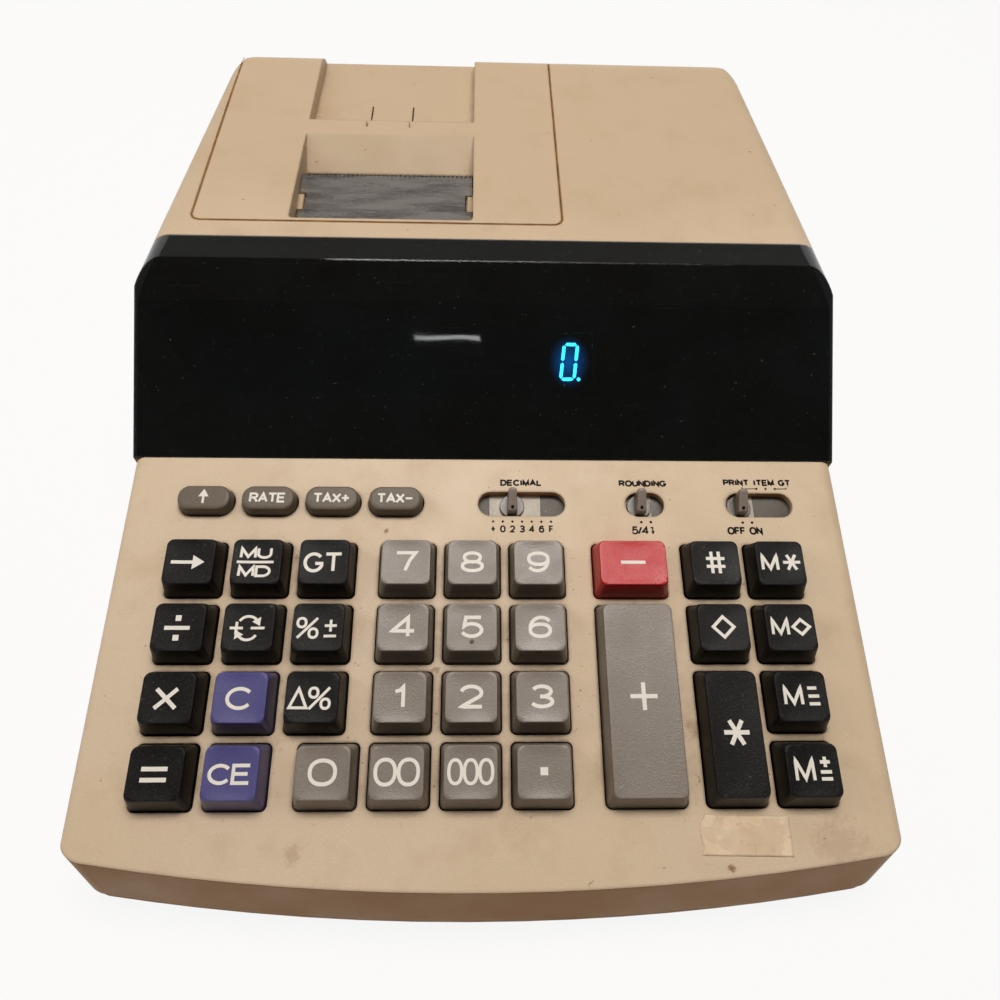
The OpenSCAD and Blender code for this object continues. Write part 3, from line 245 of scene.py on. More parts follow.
def case_plastic():
    """Beige moulding gone yellow: cloudy tone, grain, patchy dirt and painted shade in the corners, painted
    shade on the rear top and front face, specks and stains.
    """
    colour = srgb(206, 179, 146)
    m = Mat("aged_beige")
    cloud = m.noise(11, 5, 0.6)
    base = m.mix(m.ramp(cloud, 0.3, 0.7), srgb(226, 203, 176), srgb(219, 194, 162))
    # Painted shade: the case is mixed toward a darker tone toward the rear, so the rear top reads darker
    # than the deck.
    back = m.node("ShaderNodeSeparateXYZ", {0: m.at}).outputs["Y"]
    back = m.math("ADD", back, m.ramp(m.noise(9, 3), 0.3, 0.7, (-0.02, 0.02)))
    base = m.mix(m.ramp(back, -0.02, 0.06, (0.0, 0.8)), base, srgb(198, 173, 141))
    base = m.mix(m.ramp(m.noise(70, 4), 0.52, 0.8, (0.0, 0.45)), base, srgb(190, 160, 124))
    base = m.mix(m.ramp(m.noise(1700, 2), 0.3, 0.7, (0.0, 0.16)), base, tint(colour, 0.72))
    # Painted shade with patchy dirt: darker brown in corners and gaps where the open-sky mask falls, broken
    # up by noise.
    corner_shade_and_dirt = m.ramp(m.open_sky(0.006), 0.80, 0.25)
    corner_shade_and_dirt = m.math("MULTIPLY", corner_shade_and_dirt, m.ramp(m.noise(160, 4, 0.7), 0.34, 0.66, (0.15, 0.8)))
    base = m.mix(corner_shade_and_dirt, base, srgb(112, 82, 54))
    specks = m.ramp(m.noise(330, 2, 0.65), 0.735, 0.775)
    base = m.mix(m.math("MULTIPLY", specks, 0.6), base, srgb(110, 78, 50))
    nook = m.ramp(m.open_sky(0.012), 0.96, 0.62)
    crumbs = m.ramp(m.noise(430, 3, 0.7), 0.65, 0.72)
    base = m.mix(m.math("MULTIPLY", m.math("MULTIPLY", nook, crumbs), 0.6), base, srgb(98, 66, 38))
    face = m.facing("Y")
    patchy = m.ramp(m.noise(26, 4, 0.6), 0.35, 0.7, (-0.12, 0.12))
    # Painted shade: faces that look forward are mixed toward a warm darker brown, patchy by noise.
    front_face_shade = m.math("ADD", m.ramp(face, -0.55, -0.92, (0.0, 0.95)), patchy)
    base = m.mix(m.math("MULTIPLY", front_face_shade, m.ramp(face, -0.5, -0.7)), base, srgb(170, 127, 80))
    stain = None
    ragged = m.noise(420, 4, 0.7)
    for x, y, reach, strength in STAINS:
        blur = RAGGED * reach * MM
        far = m.away_from(DECK @ Vector((x, y, 0)) * MM)
        far = m.math("ADD", far, m.ramp(ragged, 0.25, 0.75, (-blur, blur)))
        spot = m.ramp(far, reach * MM, SOLID_PART * reach * MM, (0.0, strength))
        stain = spot if stain is None else m.math("MAXIMUM", stain, spot)
    base = m.mix(stain, base, srgb(134, 92, 54))
    m.feed("Base Color", base)
    m.feed("Specular IOR Level", m.ramp(face, -0.5, -0.8, (0.5, 0.12)))
    m.feed("Roughness", m.ramp(m.noise(60, 4), 0.3, 0.7, (0.44, 0.60)))
    waves = m.bump(m.noise(24, 2), 0.0002, 0.2, m.rounded(0.0014))
    m.feed("Normal", m.bump(m.noise(2300, 2, 0.6), 0.00006, 0.8, waves))
    return m.m


def window_plastic():
    """Polished smoked sheet: black, a little see-through, with hairlines and settled dust."""
    m = Mat("smoked_window", IOR=1.49, Alpha=0.92)
    along = m.ramp(m.noise(23, 2, 0.6, m.stretch((1.5, 80.0, 80.0)), 0.3), 0.69, 0.72)
    across = m.ramp(m.noise(19, 2, 0.6, m.stretch((90.0, 5.0, 9.0)), 0.3), 0.70, 0.73)
    dust = m.ramp(m.noise(880, 2, 0.7), 0.70, 0.77)
    smear_and_painted_reflection = m.ramp(m.noise(30, 4, 0.6), 0.35, 0.75)
    marks = m.math("MAXIMUM", m.math("MULTIPLY", along, 0.04), m.math("MULTIPLY", across, 0.03))
    marks = m.math("MAXIMUM", marks, m.math("MULTIPLY", dust, 0.55))
    # Painted reflection: the smear mask tints the black film toward teal in patches; the same mask raises
    # roughness as real smears do.
    film = m.mix(smear_and_painted_reflection, (0.0014, 0.0018, 0.0018), (0.0030, 0.0056, 0.0056))
    m.feed("Base Color", m.mix(marks, film, (0.13, 0.135, 0.12)))
    rough = m.math("ADD", m.ramp(smear_and_painted_reflection, 0.0, 1.0, (0.02, 0.04)), m.math("MULTIPLY", marks, 0.4))
    m.feed("Roughness", rough)
    m.feed("Normal", m.bump(m.noise(55, 2), 0.00010, 0.2, m.rounded(0.0008)))
    return m.m


def clear_plastic():
    """Clear moulding gone cloudy: soft bands of haze along it, fine scratches and wiped dust."""
    m = Mat("clear_cutter", IOR=1.49)
    haze = m.ramp(m.noise(17, 4, 0.6, m.stretch((2.2, 13.0, 13.0)), 0.3), 0.36, 0.70)
    lines = m.ramp(m.noise(20, 3, 0.6, m.stretch((3.0, 60.0, 30.0))), 0.48, 0.72)
    dull = m.math("MAXIMUM", haze, m.math("MULTIPLY", lines, 0.55))
    m.feed("Base Color", m.mix(dull, (0.50, 0.475, 0.45), (0.28, 0.26, 0.24)))
    m.feed("Transmission Weight", m.ramp(dull, 0.0, 1.0, (0.90, 0.42)))
    m.feed("Roughness", m.ramp(dull, 0.0, 1.0, (0.12, 0.46)))
    m.feed("Normal", m.bump(m.noise(500, 2), 0.00008, 0.6, m.rounded(0.0003)))
    return m.m


def metal(name, colour, rough, along=(400.0, 12.0, 12.0)):
    m = Mat(name, Metallic=1.0)
    brush = m.noise(9, 3, 0.6, m.stretch(along))
    m.feed("Base Color", m.mix(m.ramp(m.noise(60, 4), 0.35, 0.75), colour, tint(colour, 0.72)))
    m.feed("Roughness", m.ramp(brush, 0.3, 0.7, (rough - 0.08, rough + 0.12)))
    m.feed("Normal", m.bump(brush, 0.00004))
    return m.m


def rubber(name, colour, rough=0.8):
    m = Mat(name)
    m.feed("Base Color", m.mix(m.ramp(m.noise(130, 4), 0.4, 0.75), colour, tint(colour, 1.9)))
    m.feed("Roughness", m.ramp(m.noise(260, 3), 0.3, 0.7, (rough - 0.1, rough + 0.1)))
    m.feed("Normal", m.bump(m.noise(1400, 3), 0.00012))
    return m.m


def circuit_board():
    m = Mat("solder_mask")
    cells = m.node("ShaderNodeTexBrick", {"Vector": m.at, "Scale": 260.0, "Mortar Size": 0.06},
                   offset=0.5).outputs["Fac"]
    base = m.mix(m.math("MULTIPLY", cells, 0.5), srgb(64, 96, 50), srgb(104, 122, 70))
    m.feed("Base Color", m.mix(m.ramp(m.noise(90, 3), 0.45, 0.8, (0, 0.4)), base, srgb(60, 72, 44)))
    m.feed("Roughness", m.ramp(m.noise(160, 3), 0.3, 0.7, (0.28, 0.45)))
    m.feed("Normal", m.bump(cells, 0.00004))
    return m.m


def laminations():
    m = Mat("varnished_core")
    leaves = m.node("ShaderNodeTexWave", {"Vector": m.at, "Scale": 640.0, "Distortion": 0.4},
                    bands_direction="Y").outputs["Fac"]
    m.feed("Base Color", m.mix(leaves, srgb(88, 78, 68), srgb(128, 116, 100)))
    m.feed("Roughness", m.ramp(leaves, 0, 1, (0.35, 0.6)))
    m.feed("Normal", m.bump(leaves, 0.0001))
    return m.m


def legend_print(name, colour, gloss=0.5):
    """Moulded-in lettering, a little worn and greyed."""
    m = Mat(name, Specular_IOR_Level=gloss)
    worn = m.ramp(m.noise(900, 3, 0.7), 0.58, 0.74, (0.0, 0.35))
    m.feed("Base Color", m.mix(worn, colour, tint(colour, 0.62)))
    m.feed("Roughness", m.ramp(m.noise(300, 3), 0.3, 0.7, (0.42, 0.6)))
    m.feed("Normal", m.bump(m.noise(2600, 2), 0.00004))
    return m.m


def aged_paper():
    m = Mat("aged_paper")
    base = m.mix(m.ramp(m.noise(120, 5, 0.65), 0.35, 0.75), srgb(242, 220, 190), srgb(226, 194, 157))
    base = m.mix(m.ramp(m.noise(420, 4, 0.7), 0.58, 0.76, (0, 0.5)), base, srgb(170, 128, 88))
    crease = m.ramp(m.noise(46, 3, 0.6, None, 1.2), 0.495, 0.505)
    m.feed("Base Color", m.mix(m.math("MULTIPLY", crease, 0.12), base, srgb(120, 84, 52)))
    m.feed("Roughness", m.ramp(m.noise(200, 3), 0.3, 0.7, (0.55, 0.8)))
    m.feed("Normal", m.bump(m.noise(260, 4), 0.00025, 0.7))
    return m.m


def aged_grime():
    """Yellow-brown dirt that has settled along a seam, thicker and thinner by turns."""
    m = Mat("seam_grime")
    thick = m.ramp(m.noise(140, 4, 0.7), 0.3, 0.7)
    m.feed("Base Color", m.mix(thick, srgb(194, 150, 88), srgb(150, 98, 42)))
    m.feed("Alpha", m.ramp(m.noise(60, 4, 0.7), 0.3, 0.6, (0.35, 0.95)))
    m.feed("Roughness", m.ramp(thick, 0, 1, (0.5, 0.8)))
    m.feed("Normal", m.bump(thick, 0.00005))
    return m.m


def glow(name, colour, strength):
    m = Mat(name, Emission_Color=(*colour, 1.0), Roughness=0.4)
    m.feed("Base Color", m.mix(m.noise(900, 2), tint(colour, 0.25), tint(colour, 0.4)))
    m.b.inputs["Emission Strength"].default_value = strength
    return m.m


def dark_glass():
    m = Mat("tube_glass", IOR=1.5)
    grid = m.node("ShaderNodeTexBrick", {"Vector": m.at, "Scale": 150.0, "Mortar Size": 0.08},
                  offset=0.0).outputs["Fac"]
    base = m.mix(m.math("MULTIPLY", grid, 0.6), srgb(34, 40, 42), srgb(86, 92, 92))
    m.feed("Base Color", m.mix(m.ramp(m.noise(40, 3), 0.4, 0.8, (0, 0.5)), base, srgb(18, 22, 24)))
    m.feed("Roughness", m.ramp(m.noise(120, 2), 0.3, 0.7, (0.12, 0.28)))
    m.feed("Normal", m.bump(grid, 0.00005))
    return m.m


CHARCOAL, GREY = srgb(17, 16, 14), srgb(136, 125, 115)
BEIGE = case_plastic()
KEY_MAT = {
    "charcoal": moulded("key_charcoal", CHARCOAL, 0.40, 2600, 0.00008, 0.10, dust=0.12,
                        wear=tint(CHARCOAL, 2.4), gloss=0.16, shade=0.95, painted_glint=0.6),
    "grey": moulded("key_grey", GREY, 0.36, 2300, 0.00007, 0.07, dust=0.06,
                    wear=tint(GREY, 1.35), gloss=0.46, shade=0.95),
    "red": moulded("key_red", srgb(202, 20, 28), 0.36, 2300, 0.00006, 0.06, dust=0.05,
                   wear=srgb(226, 96, 90), gloss=0.45, shade=0.5),
    "oval": moulded("key_oval", srgb(112, 100, 86), 0.42, 1900, 0.00008, 0.08, dust=0.10,
                    wear=srgb(150, 138, 122), gloss=0.30, shade=0.95),
    "violet": moulded("key_violet", srgb(80, 76, 134), 0.38, 2500, 0.00005, 0.08, dust=0.06,
                      wear=srgb(126, 120, 176), gloss=0.45, shade=0.9),
}
WHITE_PRINT = legend_print("legend_white", srgb(238, 232, 222))
DARK_PRINT = legend_print("legend_dark", srgb(22, 16, 12), 0.1)
LEVER = moulded("lever_grey", srgb(146, 134, 122), 0.36, 2600, 0.00004, 0.08, dust=0.15,
                wear=srgb(186, 174, 160))
PLATE = moulded("plate_grey", srgb(198, 186, 172), 0.42, 1400, 0.00008, 0.12, dust=0.4, shade=0.15)
PLATE_DARK = moulded("plate_dark", srgb(104, 95, 86), 0.5, 1400, 0.00010, 0.16, dust=0.5, shade=0.5)


def dress(material, *names):
    for name in names:
        slots = NODES[name].data.materials
        slots.clear()
        slots.append(material)


dress(BEIGE, "upper_case", "lower_case", "printer_cover", "rear_panel")
dress(window_plastic(), "display_window")
dress(dark_glass(), "display_tube")
dress(clear_plastic(), "paper_cutter")
dress(circuit_board(), "circuit_boards")
dress(rubber("contact_rubber", srgb(92, 88, 84)), "contact_sheet")
dress(laminations(), "transformer")
dress(metal("plate_steel", srgb(168, 170, 172), 0.34), "printer_frame", "printer_motor")
dress(moulded("drum_dark", srgb(74, 71, 68), 0.4, 1200), "print_drum")
dress(rubber("ink_foam", srgb(52, 42, 76), 0.9), "ink_roller")
dress(rubber("feed_rubber", srgb(52, 50, 48)), "feed_roller")
dress(moulded("gear_natural", srgb(214, 206, 190), 0.45), "motor_pinion")
dress(PLATE_DARK, "switch_bodies")
dress(rubber("foot_rubber", srgb(54, 52, 50)), "rubber_feet")
dress(rubber("bush_rubber", srgb(44, 43, 42)), "cord_bush")
dress(metal("screw_steel", srgb(176, 178, 180), 0.3, (60.0, 60.0, 60.0)), "screws")


# Mesh helpers

def piece(name, verts, faces, material, body, at=DECK, smooth=True):
    """A mesh whose points are millimetres in a face's frame, riding on a body."""
    mesh = bpy.data.meshes.new(name)
    mesh.from_pydata([(at @ Vector(v)) * MM for v in verts], [], faces)
    mesh.validate()
    if smooth:
        mesh.shade_smooth()
    mesh.materials.append(material)
    ob = bpy.data.objects.new(name, mesh)
    bpy.context.collection.objects.link(ob)
    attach(ob, body)
    return ob


def weighted(ob, keep_sharp=True):
    mod = ob.modifiers.new("normals", "WEIGHTED_NORMAL")
    mod.keep_sharp = keep_sharp


def circle(cx, cy, r, n):
    """Points round a circle, anticlockwise."""
    turns = [2 * math.pi * i / n for i in range(n)]
    return [(cx + r * math.cos(a), cy + r * math.sin(a)) for a in turns]


def ring(x0, x1, y0, y1, r, steps, side=1):
    """Points round a rectangle with rounded corners, anticlockwise, its straight sides cut into lengths."""
    corners = []
    for q, (cx, cy) in enumerate(((x1 - r, y1 - r), (x0 + r, y1 - r), (x0 + r, y0 + r), (x1 - r, y0 + r))):
        turn = [math.radians(90 * q + 90 * i / steps) for i in range(steps + 1)]
        corners.append([(cx + r * math.cos(a), cy + r * math.sin(a)) for a in turn])
    pts = []
    for q in range(4):
        a, b = corners[q][-1], corners[(q + 1) % 4][0]
        pts += corners[q]
        pts += [(a[0] + (b[0] - a[0]) * i / side, a[1] + (b[1] - a[1]) * i / side) for i in range(1, side)]
    return pts


def skin(rings):
    """Faces through a stack of equal rings, closed at both ends."""
    n = len(rings[0])
    faces = [tuple(range(n - 1, -1, -1))]
    for j in range(len(rings) - 1):
        for i in range(n):
            k = (i + 1) % n
            faces.append((j * n + i, j * n + k, (j + 1) * n + k, (j + 1) * n + i))
    faces.append(tuple(range((len(rings) - 1) * n, len(rings) * n)))
    return [p for r in rings for p in r], faces


# Keys

# Sizes and places in millimetres: the keys' pitch, foot and first row, their height and sloping sides
PITCH, KEY_W, KEY_D, ROW_FRONT = 19.05, 16.2, 16.6, 19.65
KEY_H, SIDE_IN, FRONT_IN, BACK_IN = 7.0, 1.05, 2.1, 1.1
# The top's dish, its rounded edge down and inward, the skirt below the deck, and the corners' radii
DISH, FILLET, RIM, SKIRT = 0.32, 0.75, 0.25, 3.8
FOOT_R, TOP_R = 1.4, 1.9
# Steps round a corner, along a side, over the rounded edge and across the top
CORNER_STEPS, SIDE_STEPS, EDGE_STEPS, TOP_STEPS = 6, 8, 5, 11
# The wide column, the oval keys and the middle of each block
WIDE_X, WIDE_W = 42.1, 21.6
OVAL_W, OVAL_D, OVAL_H, OVAL_R, UPPER_ROW = 16.4, 8.6, 4.0, 3.7, 106.7
LEFT_X, NUMBER_X, RIGHT_X = -66.0, -4.5, 75.7


def left_col(c):
    return LEFT_X + (c - 1) * PITCH


def number_col(c):
    return NUMBER_X + (c - 1) * PITCH


def right_col(c):
    return RIGHT_X + (c - 0.5) * PITCH


# Each column's middle and tone from the left, and the keys of each row from the rear
COLUMNS = ([(left_col(c), "charcoal") for c in range(3)] + [(number_col(c), "grey") for c in range(-1, 3)]
           + [(WIDE_X, "grey")] + [(right_col(c), "charcoal") for c in range(2)])
KEY_ROWS = (
    ("shift", "markup", "grand_total", None, "7", "8", "9", "minus", "count", "memory_total"),
    ("divide", "sign", "percent", None, "4", "5", "6", "plus", "subtotal", "memory_subtotal"),
    ("multiply", "clear", "change", None, "1", "2", "3", None, "total", "memory_minus"),
    ("equals", "clear_entry", None, "0", "00", "000", "point", None, None, "memory_plus"),
)
LAST_ROW = len(KEY_ROWS) - 1
REACHES_LAST = ("plus", "total")
OWN_TONE = {"minus": "red", "clear": "violet", "clear_entry": "violet"}
KEYS = {}
for row, names in enumerate(KEY_ROWS):
    for (x, tone), name in zip(COLUMNS, names):
        if name:
            last = LAST_ROW if name in REACHES_LAST else row
            width = WIDE_W if x == WIDE_X else KEY_W
            KEYS["key_" + name] = (x, row, last, width, OWN_TONE.get(name, tone))
OVALS = {"key_paper_feed": None, "key_rate": "RATE", "key_tax_plus": "TAX+", "key_tax_minus": "TAX-"}


class Key:
    """A key's place on the deck, its size and the height of its dished top."""

    def __init__(self, name):
        self.x, first, last, self.w, self.tone = KEYS[name]
        self.d = (last - first) * PITCH + KEY_D
        self.y = ROW_FRONT + (LAST_ROW - last) * PITCH + self.d / 2
        self.a, self.b = self.w / 2 - SIDE_IN - RIM, (self.d - FRONT_IN - BACK_IN) / 2 - RIM
        self.shift = (FRONT_IN - BACK_IN) / 2

    def height(self, x, y):
        u, v = min(1.0, abs(x / self.a)), min(1.0, abs(y / self.b))
        return KEY_H - DISH * (1 - u * u) * (1 - v ** 4)


def keycap(name):
    """A cap with sloping sides, a rounded edge and a dished top."""
    k = Key(name)
    w, d = k.w / 2, k.d / 2

    def section(t, r):
        return ring(SIDE_IN * t - w, w - SIDE_IN * t, FRONT_IN * t - d, d - BACK_IN * t, r,
                    CORNER_STEPS, SIDE_STEPS)

    rings = [[(x, y, z) for x, y in section(0, FOOT_R)] for z in (-SKIRT, 0.0)]
    for z in (2.0, 4.0, KEY_H - FILLET):
        t = z / KEY_H
        rings.append([(x, y, z) for x, y in section(t, FOOT_R + (TOP_R - FOOT_R) * t)])
    edge = section(1, TOP_R)
    lower = section((KEY_H - FILLET) / KEY_H, TOP_R)
    for i in range(1, EDGE_STEPS + 1):
        a = math.radians(90 * i / EDGE_STEPS)
        ins, z = RIM * (1 - math.cos(a)), KEY_H - FILLET + FILLET * math.sin(a)
        rings.append([(lo[0] + (e[0] - lo[0]) * math.sin(a) - ins * (1 if e[0] > 0 else -1),
                       lo[1] + (e[1] - lo[1]) * math.sin(a) - ins * (1 if e[1] - k.shift > 0 else -1), z)
                      for lo, e in zip(lower, edge)])
    rim = rings[-1]
    for s in [1 - i / TOP_STEPS for i in range(1, TOP_STEPS)]:
        inner = [(x * s, (y - k.shift) * s) for x, y, z in rim]
        rings.append([(x, k.shift + y, k.height(x, y)) for x, y in inner])
    verts, faces = skin(rings)
    ob = piece(name.replace("key_", "cap_"), [(x + k.x, y + k.y, z) for x, y, z in verts], faces,
               KEY_MAT[k.tone], name)
    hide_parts(name)
    weighted(ob)
    return k


def oval_cap(name, column):
    """A low cap with rounded ends, sloping sides and a soft rim round its flat top."""
    x0, w, d = left_col(column), OVAL_W, OVAL_D

    def section(ins, front, back):
        r = min(OVAL_R - 0.5 * ins, (d - front - back) / 2 - 0.1)
        return ring(ins - w / 2, w / 2 - ins, front - d / 2, d / 2 - back, r, 8)

    rings = [[(x, y, z) for x, y in section(0, 0, 0)] for z in (-SKIRT, 0.0)]
    for ins, z in ((0.25, 2.2), (0.42, 3.3), (0.52, 3.62), (0.72, 3.84), (1.05, 3.96), (1.5, OVAL_H)):
        rings.append([(x, y, z) for x, y in section(ins, 1.35 * ins, 0.8 * ins)])
    verts, faces = skin(rings)
    ob = piece(name.replace("key_", "cap_"), [(x + x0, y + UPPER_ROW, z) for x, y, z in verts], faces,
               KEY_MAT["oval"], name)
    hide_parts(name)
    weighted(ob)


# Lettering: strokes of even width

OVAL_STEPS, OVAL_POWER = 36, 2.25


def arc(cx, cy, rx, ry, a0, a1, n=14):
    return [(cx + rx * math.cos(math.radians(a0 + (a1 - a0) * i / n)),
             cy + ry * math.sin(math.radians(a0 + (a1 - a0) * i / n))) for i in range(n + 1)]


def oval(cx, cy, rx, ry):
    """A closed oval, a little squarer than an ellipse."""
    def squarer(v):
        return math.copysign(abs(v) ** (2 / OVAL_POWER), v)
    pts = [(cx + rx * squarer(c), cy + ry * squarer(s)) for c, s in circle(0, 0, 1, OVAL_STEPS)]
    return pts + [pts[0]]


# Each sign: width, then strokes on a height of 1
GLYPHS = {
    "0": (0.92, [oval(0.46, 0.5, 0.46, 0.5)]),
    "o": (0.56, [oval(0.28, 0.5, 0.28, 0.5)]),
    "1": (0.50, [[(0.04, 0.76), (0.26, 0.82), (0.38, 1.0), (0.38, 0.0)]]),
    "2": (0.90, [arc(0.45, 0.68, 0.43, 0.32, 168, -32) + [(0.03, 0.0), (0.90, 0.0)]]),
    "3": (0.88, [arc(0.43, 0.745, 0.39, 0.255, 158, -90) + arc(0.43, 0.25, 0.44, 0.25, 90, -160)]),
    "4": (0.98, [[(0.70, 0.0), (0.70, 1.0), (0.02, 0.28), (0.98, 0.28)]]),
    "5": (0.88, [[(0.84, 1.0), (0.18, 1.0), (0.09, 0.50)] + arc(0.43, 0.33, 0.44, 0.33, 128, -158)]),
    "6": (0.90, [oval(0.45, 0.32, 0.44, 0.32), arc(0.50, 0.42, 0.49, 0.58, 186, 42)]),
    "7": (0.90, [[(0.02, 1.0), (0.88, 1.0), (0.62, 0.58), (0.42, 0.0)]]),
    "8": (0.90, [oval(0.45, 0.745, 0.36, 0.255), oval(0.45, 0.255, 0.45, 0.255)]),
    "9": (0.90, [oval(0.45, 0.68, 0.44, 0.32), arc(0.40, 0.58, 0.49, 0.58, 6, -138)]),
    "C": (0.92, [arc(0.48, 0.5, 0.48, 0.5, 38, 322, 24)]),
    "E": (0.76, [[(0.76, 1.0), (0.0, 1.0), (0.0, 0.0), (0.76, 0.0)], [(0.0, 0.52), (0.68, 0.52)]]),
    "G": (0.94, [arc(0.48, 0.5, 0.48, 0.5, 40, 338, 24) + [(0.92, 0.44), (0.56, 0.44)]]),
    "T": (0.86, [[(0.0, 1.0), (0.86, 1.0)], [(0.43, 1.0), (0.43, 0.0)]]),
    "M": (0.90, [[(0.0, 0.0), (0.02, 1.0), (0.45, 0.08), (0.88, 1.0), (0.90, 0.0)]]),
    "U": (0.80, [[(0.0, 1.0), (0.0, 0.38)] + arc(0.40, 0.38, 0.40, 0.38, 180, 360)
                 + [(0.80, 0.38), (0.80, 1.0)]]),
    "D": (0.84, [[(0.0, 0.0), (0.0, 1.0), (0.40, 1.0)] + arc(0.40, 0.5, 0.44, 0.5, 90, -90)
                 + [(0.0, 0.0)]]),
    "R": (0.80, [[(0.0, 0.0), (0.0, 1.0), (0.48, 1.0)] + arc(0.48, 0.75, 0.28, 0.25, 90, -90)
                 + [(0.0, 0.5)], [(0.42, 0.5), (0.80, 0.0)]]),
    "A": (0.90, [[(0.0, 0.0), (0.45, 1.0), (0.90, 0.0)], [(0.16, 0.34), (0.74, 0.34)]]),
    "X": (0.84, [[(0.0, 0.0), (0.84, 1.0)], [(0.0, 1.0), (0.84, 0.0)]]),
    "I": (0.10, [[(0.05, 0.0), (0.05, 1.0)]]),
    "N": (0.78, [[(0.0, 0.0), (0.0, 1.0), (0.78, 0.0), (0.78, 1.0)]]),
    "O": (0.96, [oval(0.48, 0.5, 0.48, 0.5)]),
    "P": (0.76, [[(0.0, 0.0), (0.0, 1.0), (0.46, 1.0)] + arc(0.46, 0.74, 0.30, 0.26, 90, -90)
                 + [(0.0, 0.48)]]),
    "L": (0.66, [[(0.0, 1.0), (0.0, 0.0), (0.66, 0.0)]]),
    "F": (0.70, [[(0.0, 0.0), (0.0, 1.0), (0.70, 1.0)], [(0.0, 0.52), (0.62, 0.52)]]),
    "/": (0.50, [[(0.0, 0.0), (0.50, 1.0)]]),
    "+": (0.80, [[(0.0, 0.5), (0.80, 0.5)], [(0.40, 0.10), (0.40, 0.90)]]),
    "-": (0.80, [[(0.0, 0.5), (0.80, 0.5)]]),
    "=": (1.00, [[(0.0, 0.80), (1.0, 0.80)], [(0.0, 0.22), (1.0, 0.22)]]),
    "x": (0.96, [[(0.0, 0.02), (0.96, 0.98)], [(0.0, 0.98), (0.96, 0.02)]]),
    "#": (0.92, [[(0.28, 0.0), (0.28, 1.0)], [(0.64, 0.0), (0.64, 1.0)], [(0.0, 0.32), (0.92, 0.32)],
                 [(0.0, 0.68), (0.92, 0.68)]]),
    "*": (0.92, [[(0.0, 0.5), (0.92, 0.5)], [(0.23, 0.08), (0.69, 0.92)], [(0.23, 0.92), (0.69, 0.08)]]),
    "<": (0.92, [[(0.46, 1.0), (0.0, 0.5), (0.46, 0.0), (0.92, 0.5), (0.46, 1.0)]]),
    "%": (1.06, [oval(0.24, 0.76, 0.20, 0.22), oval(0.82, 0.24, 0.20, 0.22), [(0.06, 0.0), (1.0, 1.0)]]),
    "_": (0.66, [[(0.0, 0.06), (0.66, 0.06)], [(0.02, 0.62), (0.66, 0.62)], [(0.34, 0.30), (0.34, 0.94)]]),
    "^": (0.86, [[(0.0, 0.0), (0.43, 1.0), (0.86, 0.0), (0.0, 0.0)]]),
    "e": (0.54, [[(0.0, 0.88), (0.46, 0.88)], [(0.0, 0.48), (0.54, 0.48)], [(0.0, 0.10), (0.54, 0.10)]]),
    "p": (0.54, [[(0.27, 1.10), (0.27, 0.62)], [(0.03, 0.86), (0.51, 0.86)], [(0.0, 0.40), (0.54, 0.40)],
                 [(0.0, 0.08), (0.54, 0.08)]]),
    "j": (0.40, [[(0.0, 0.92), (0.32, 0.92), (0.32, 0.22)]]),
}


# Lettering: longest straight length, nearest points, and height above the face with steps for crossings
LENGTH, TOUCH, LIFT, LIFT_STEP = 0.6, 1e-6, 0.02, 0.002


def in_lengths(points, step):
    """Cuts a line into short lengths, so that it can follow a curved face."""
    out = [points[0]]
    for a, b in zip(points, points[1:]):
        n = max(1, int(math.dist(a, b) / step))
        out += [(a[0] + (b[0] - a[0]) * i / n, a[1] + (b[1] - a[1]) * i / n) for i in range(1, n + 1)]
    return out


def ribbon(points, width, verts, faces, height, lift):
    """A flat band of even width along a line, laid on a face."""
    shut = math.dist(points[0], points[-1]) < TOUCH
    apart = [p for i, p in enumerate(points) if i == 0 or math.dist(p, points[i - 1]) > TOUCH]
    points = in_lengths(apart, LENGTH)
    n, base = len(points), len(verts)
    for i, p in enumerate(points):
        before = points[i - 1] if i else (points[-2] if shut else None)
        after = points[i + 1] if i < n - 1 else (points[1] if shut else None)
        d0 = Vector((p[0] - before[0], p[1] - before[1])).normalized() if before else None
        d1 = Vector((after[0] - p[0], after[1] - p[1])).normalized() if after else None
        d0, d1 = d0 or d1, d1 or d0
        t = d0 + d1
        t = t.normalized() if t.length > 0.05 else d1
        side = Vector((-t.y, t.x))
        k = min(2.2, 1 / max(0.3, side.dot(Vector((-d1.y, d1.x)))))
        for s in (-1, 1):
            x, y = p[0] + s * side.x * k * width / 2, p[1] + s * side.y * k * width / 2
            verts.append((x, y, height(x, y) + lift))
    for i in range(n - 1):
        a = base + 2 * i
        faces.append((a, a + 2, a + 3, a + 1))


def lines_of(text, size, gap=0.2, stretch=1.0):
    """The strokes of a word, centred on the origin."""
    wide = sum(GLYPHS[c][0] * stretch + gap for c in text) - gap
    x, out = -wide / 2, []
    for c in text:
        w, strokes = GLYPHS[c]
        out += [[((x + px * stretch) * size, (py - 0.5) * size) for px, py in s] for s in strokes]
        x += w * stretch + gap
    return out


def inked(name, strokes, weight, body, material, cx, cy, height):
    verts, faces = [], []
    for i, s in enumerate(strokes):
        ribbon(s, weight, verts, faces, height, LIFT + LIFT_STEP * (i % 4))
    ob = piece(name, [(x + cx, y + cy, z) for x, y, z in verts], faces, material, body)


def flat(x, y):
    """Height of the deck's own plane."""
    return 0.0


def on_case(name, strokes, weight, x, y):
    inked(name, strokes, weight, "case", DARK_PRINT, x, y, flat)


def moved(strokes, dx, dy):
    return [[(x + dx, y + dy) for x, y in s] for s in strokes]


def arrow_head(tip, direction, size):
    """A filled arrow head, as strokes side by side."""
    d = Vector(direction).normalized()
    side = Vector((-d.y, d.x))
    back = Vector(tip) - d * size
    return [[tuple(back + side * size * 0.62), tuple(tip), tuple(back - side * size * 0.62),
             tuple(back + side * size * 0.62)],
            [tuple(back + side * size * 0.2), tuple(Vector(tip) - d * size * 0.3),
             tuple(back - side * size * 0.2)]]


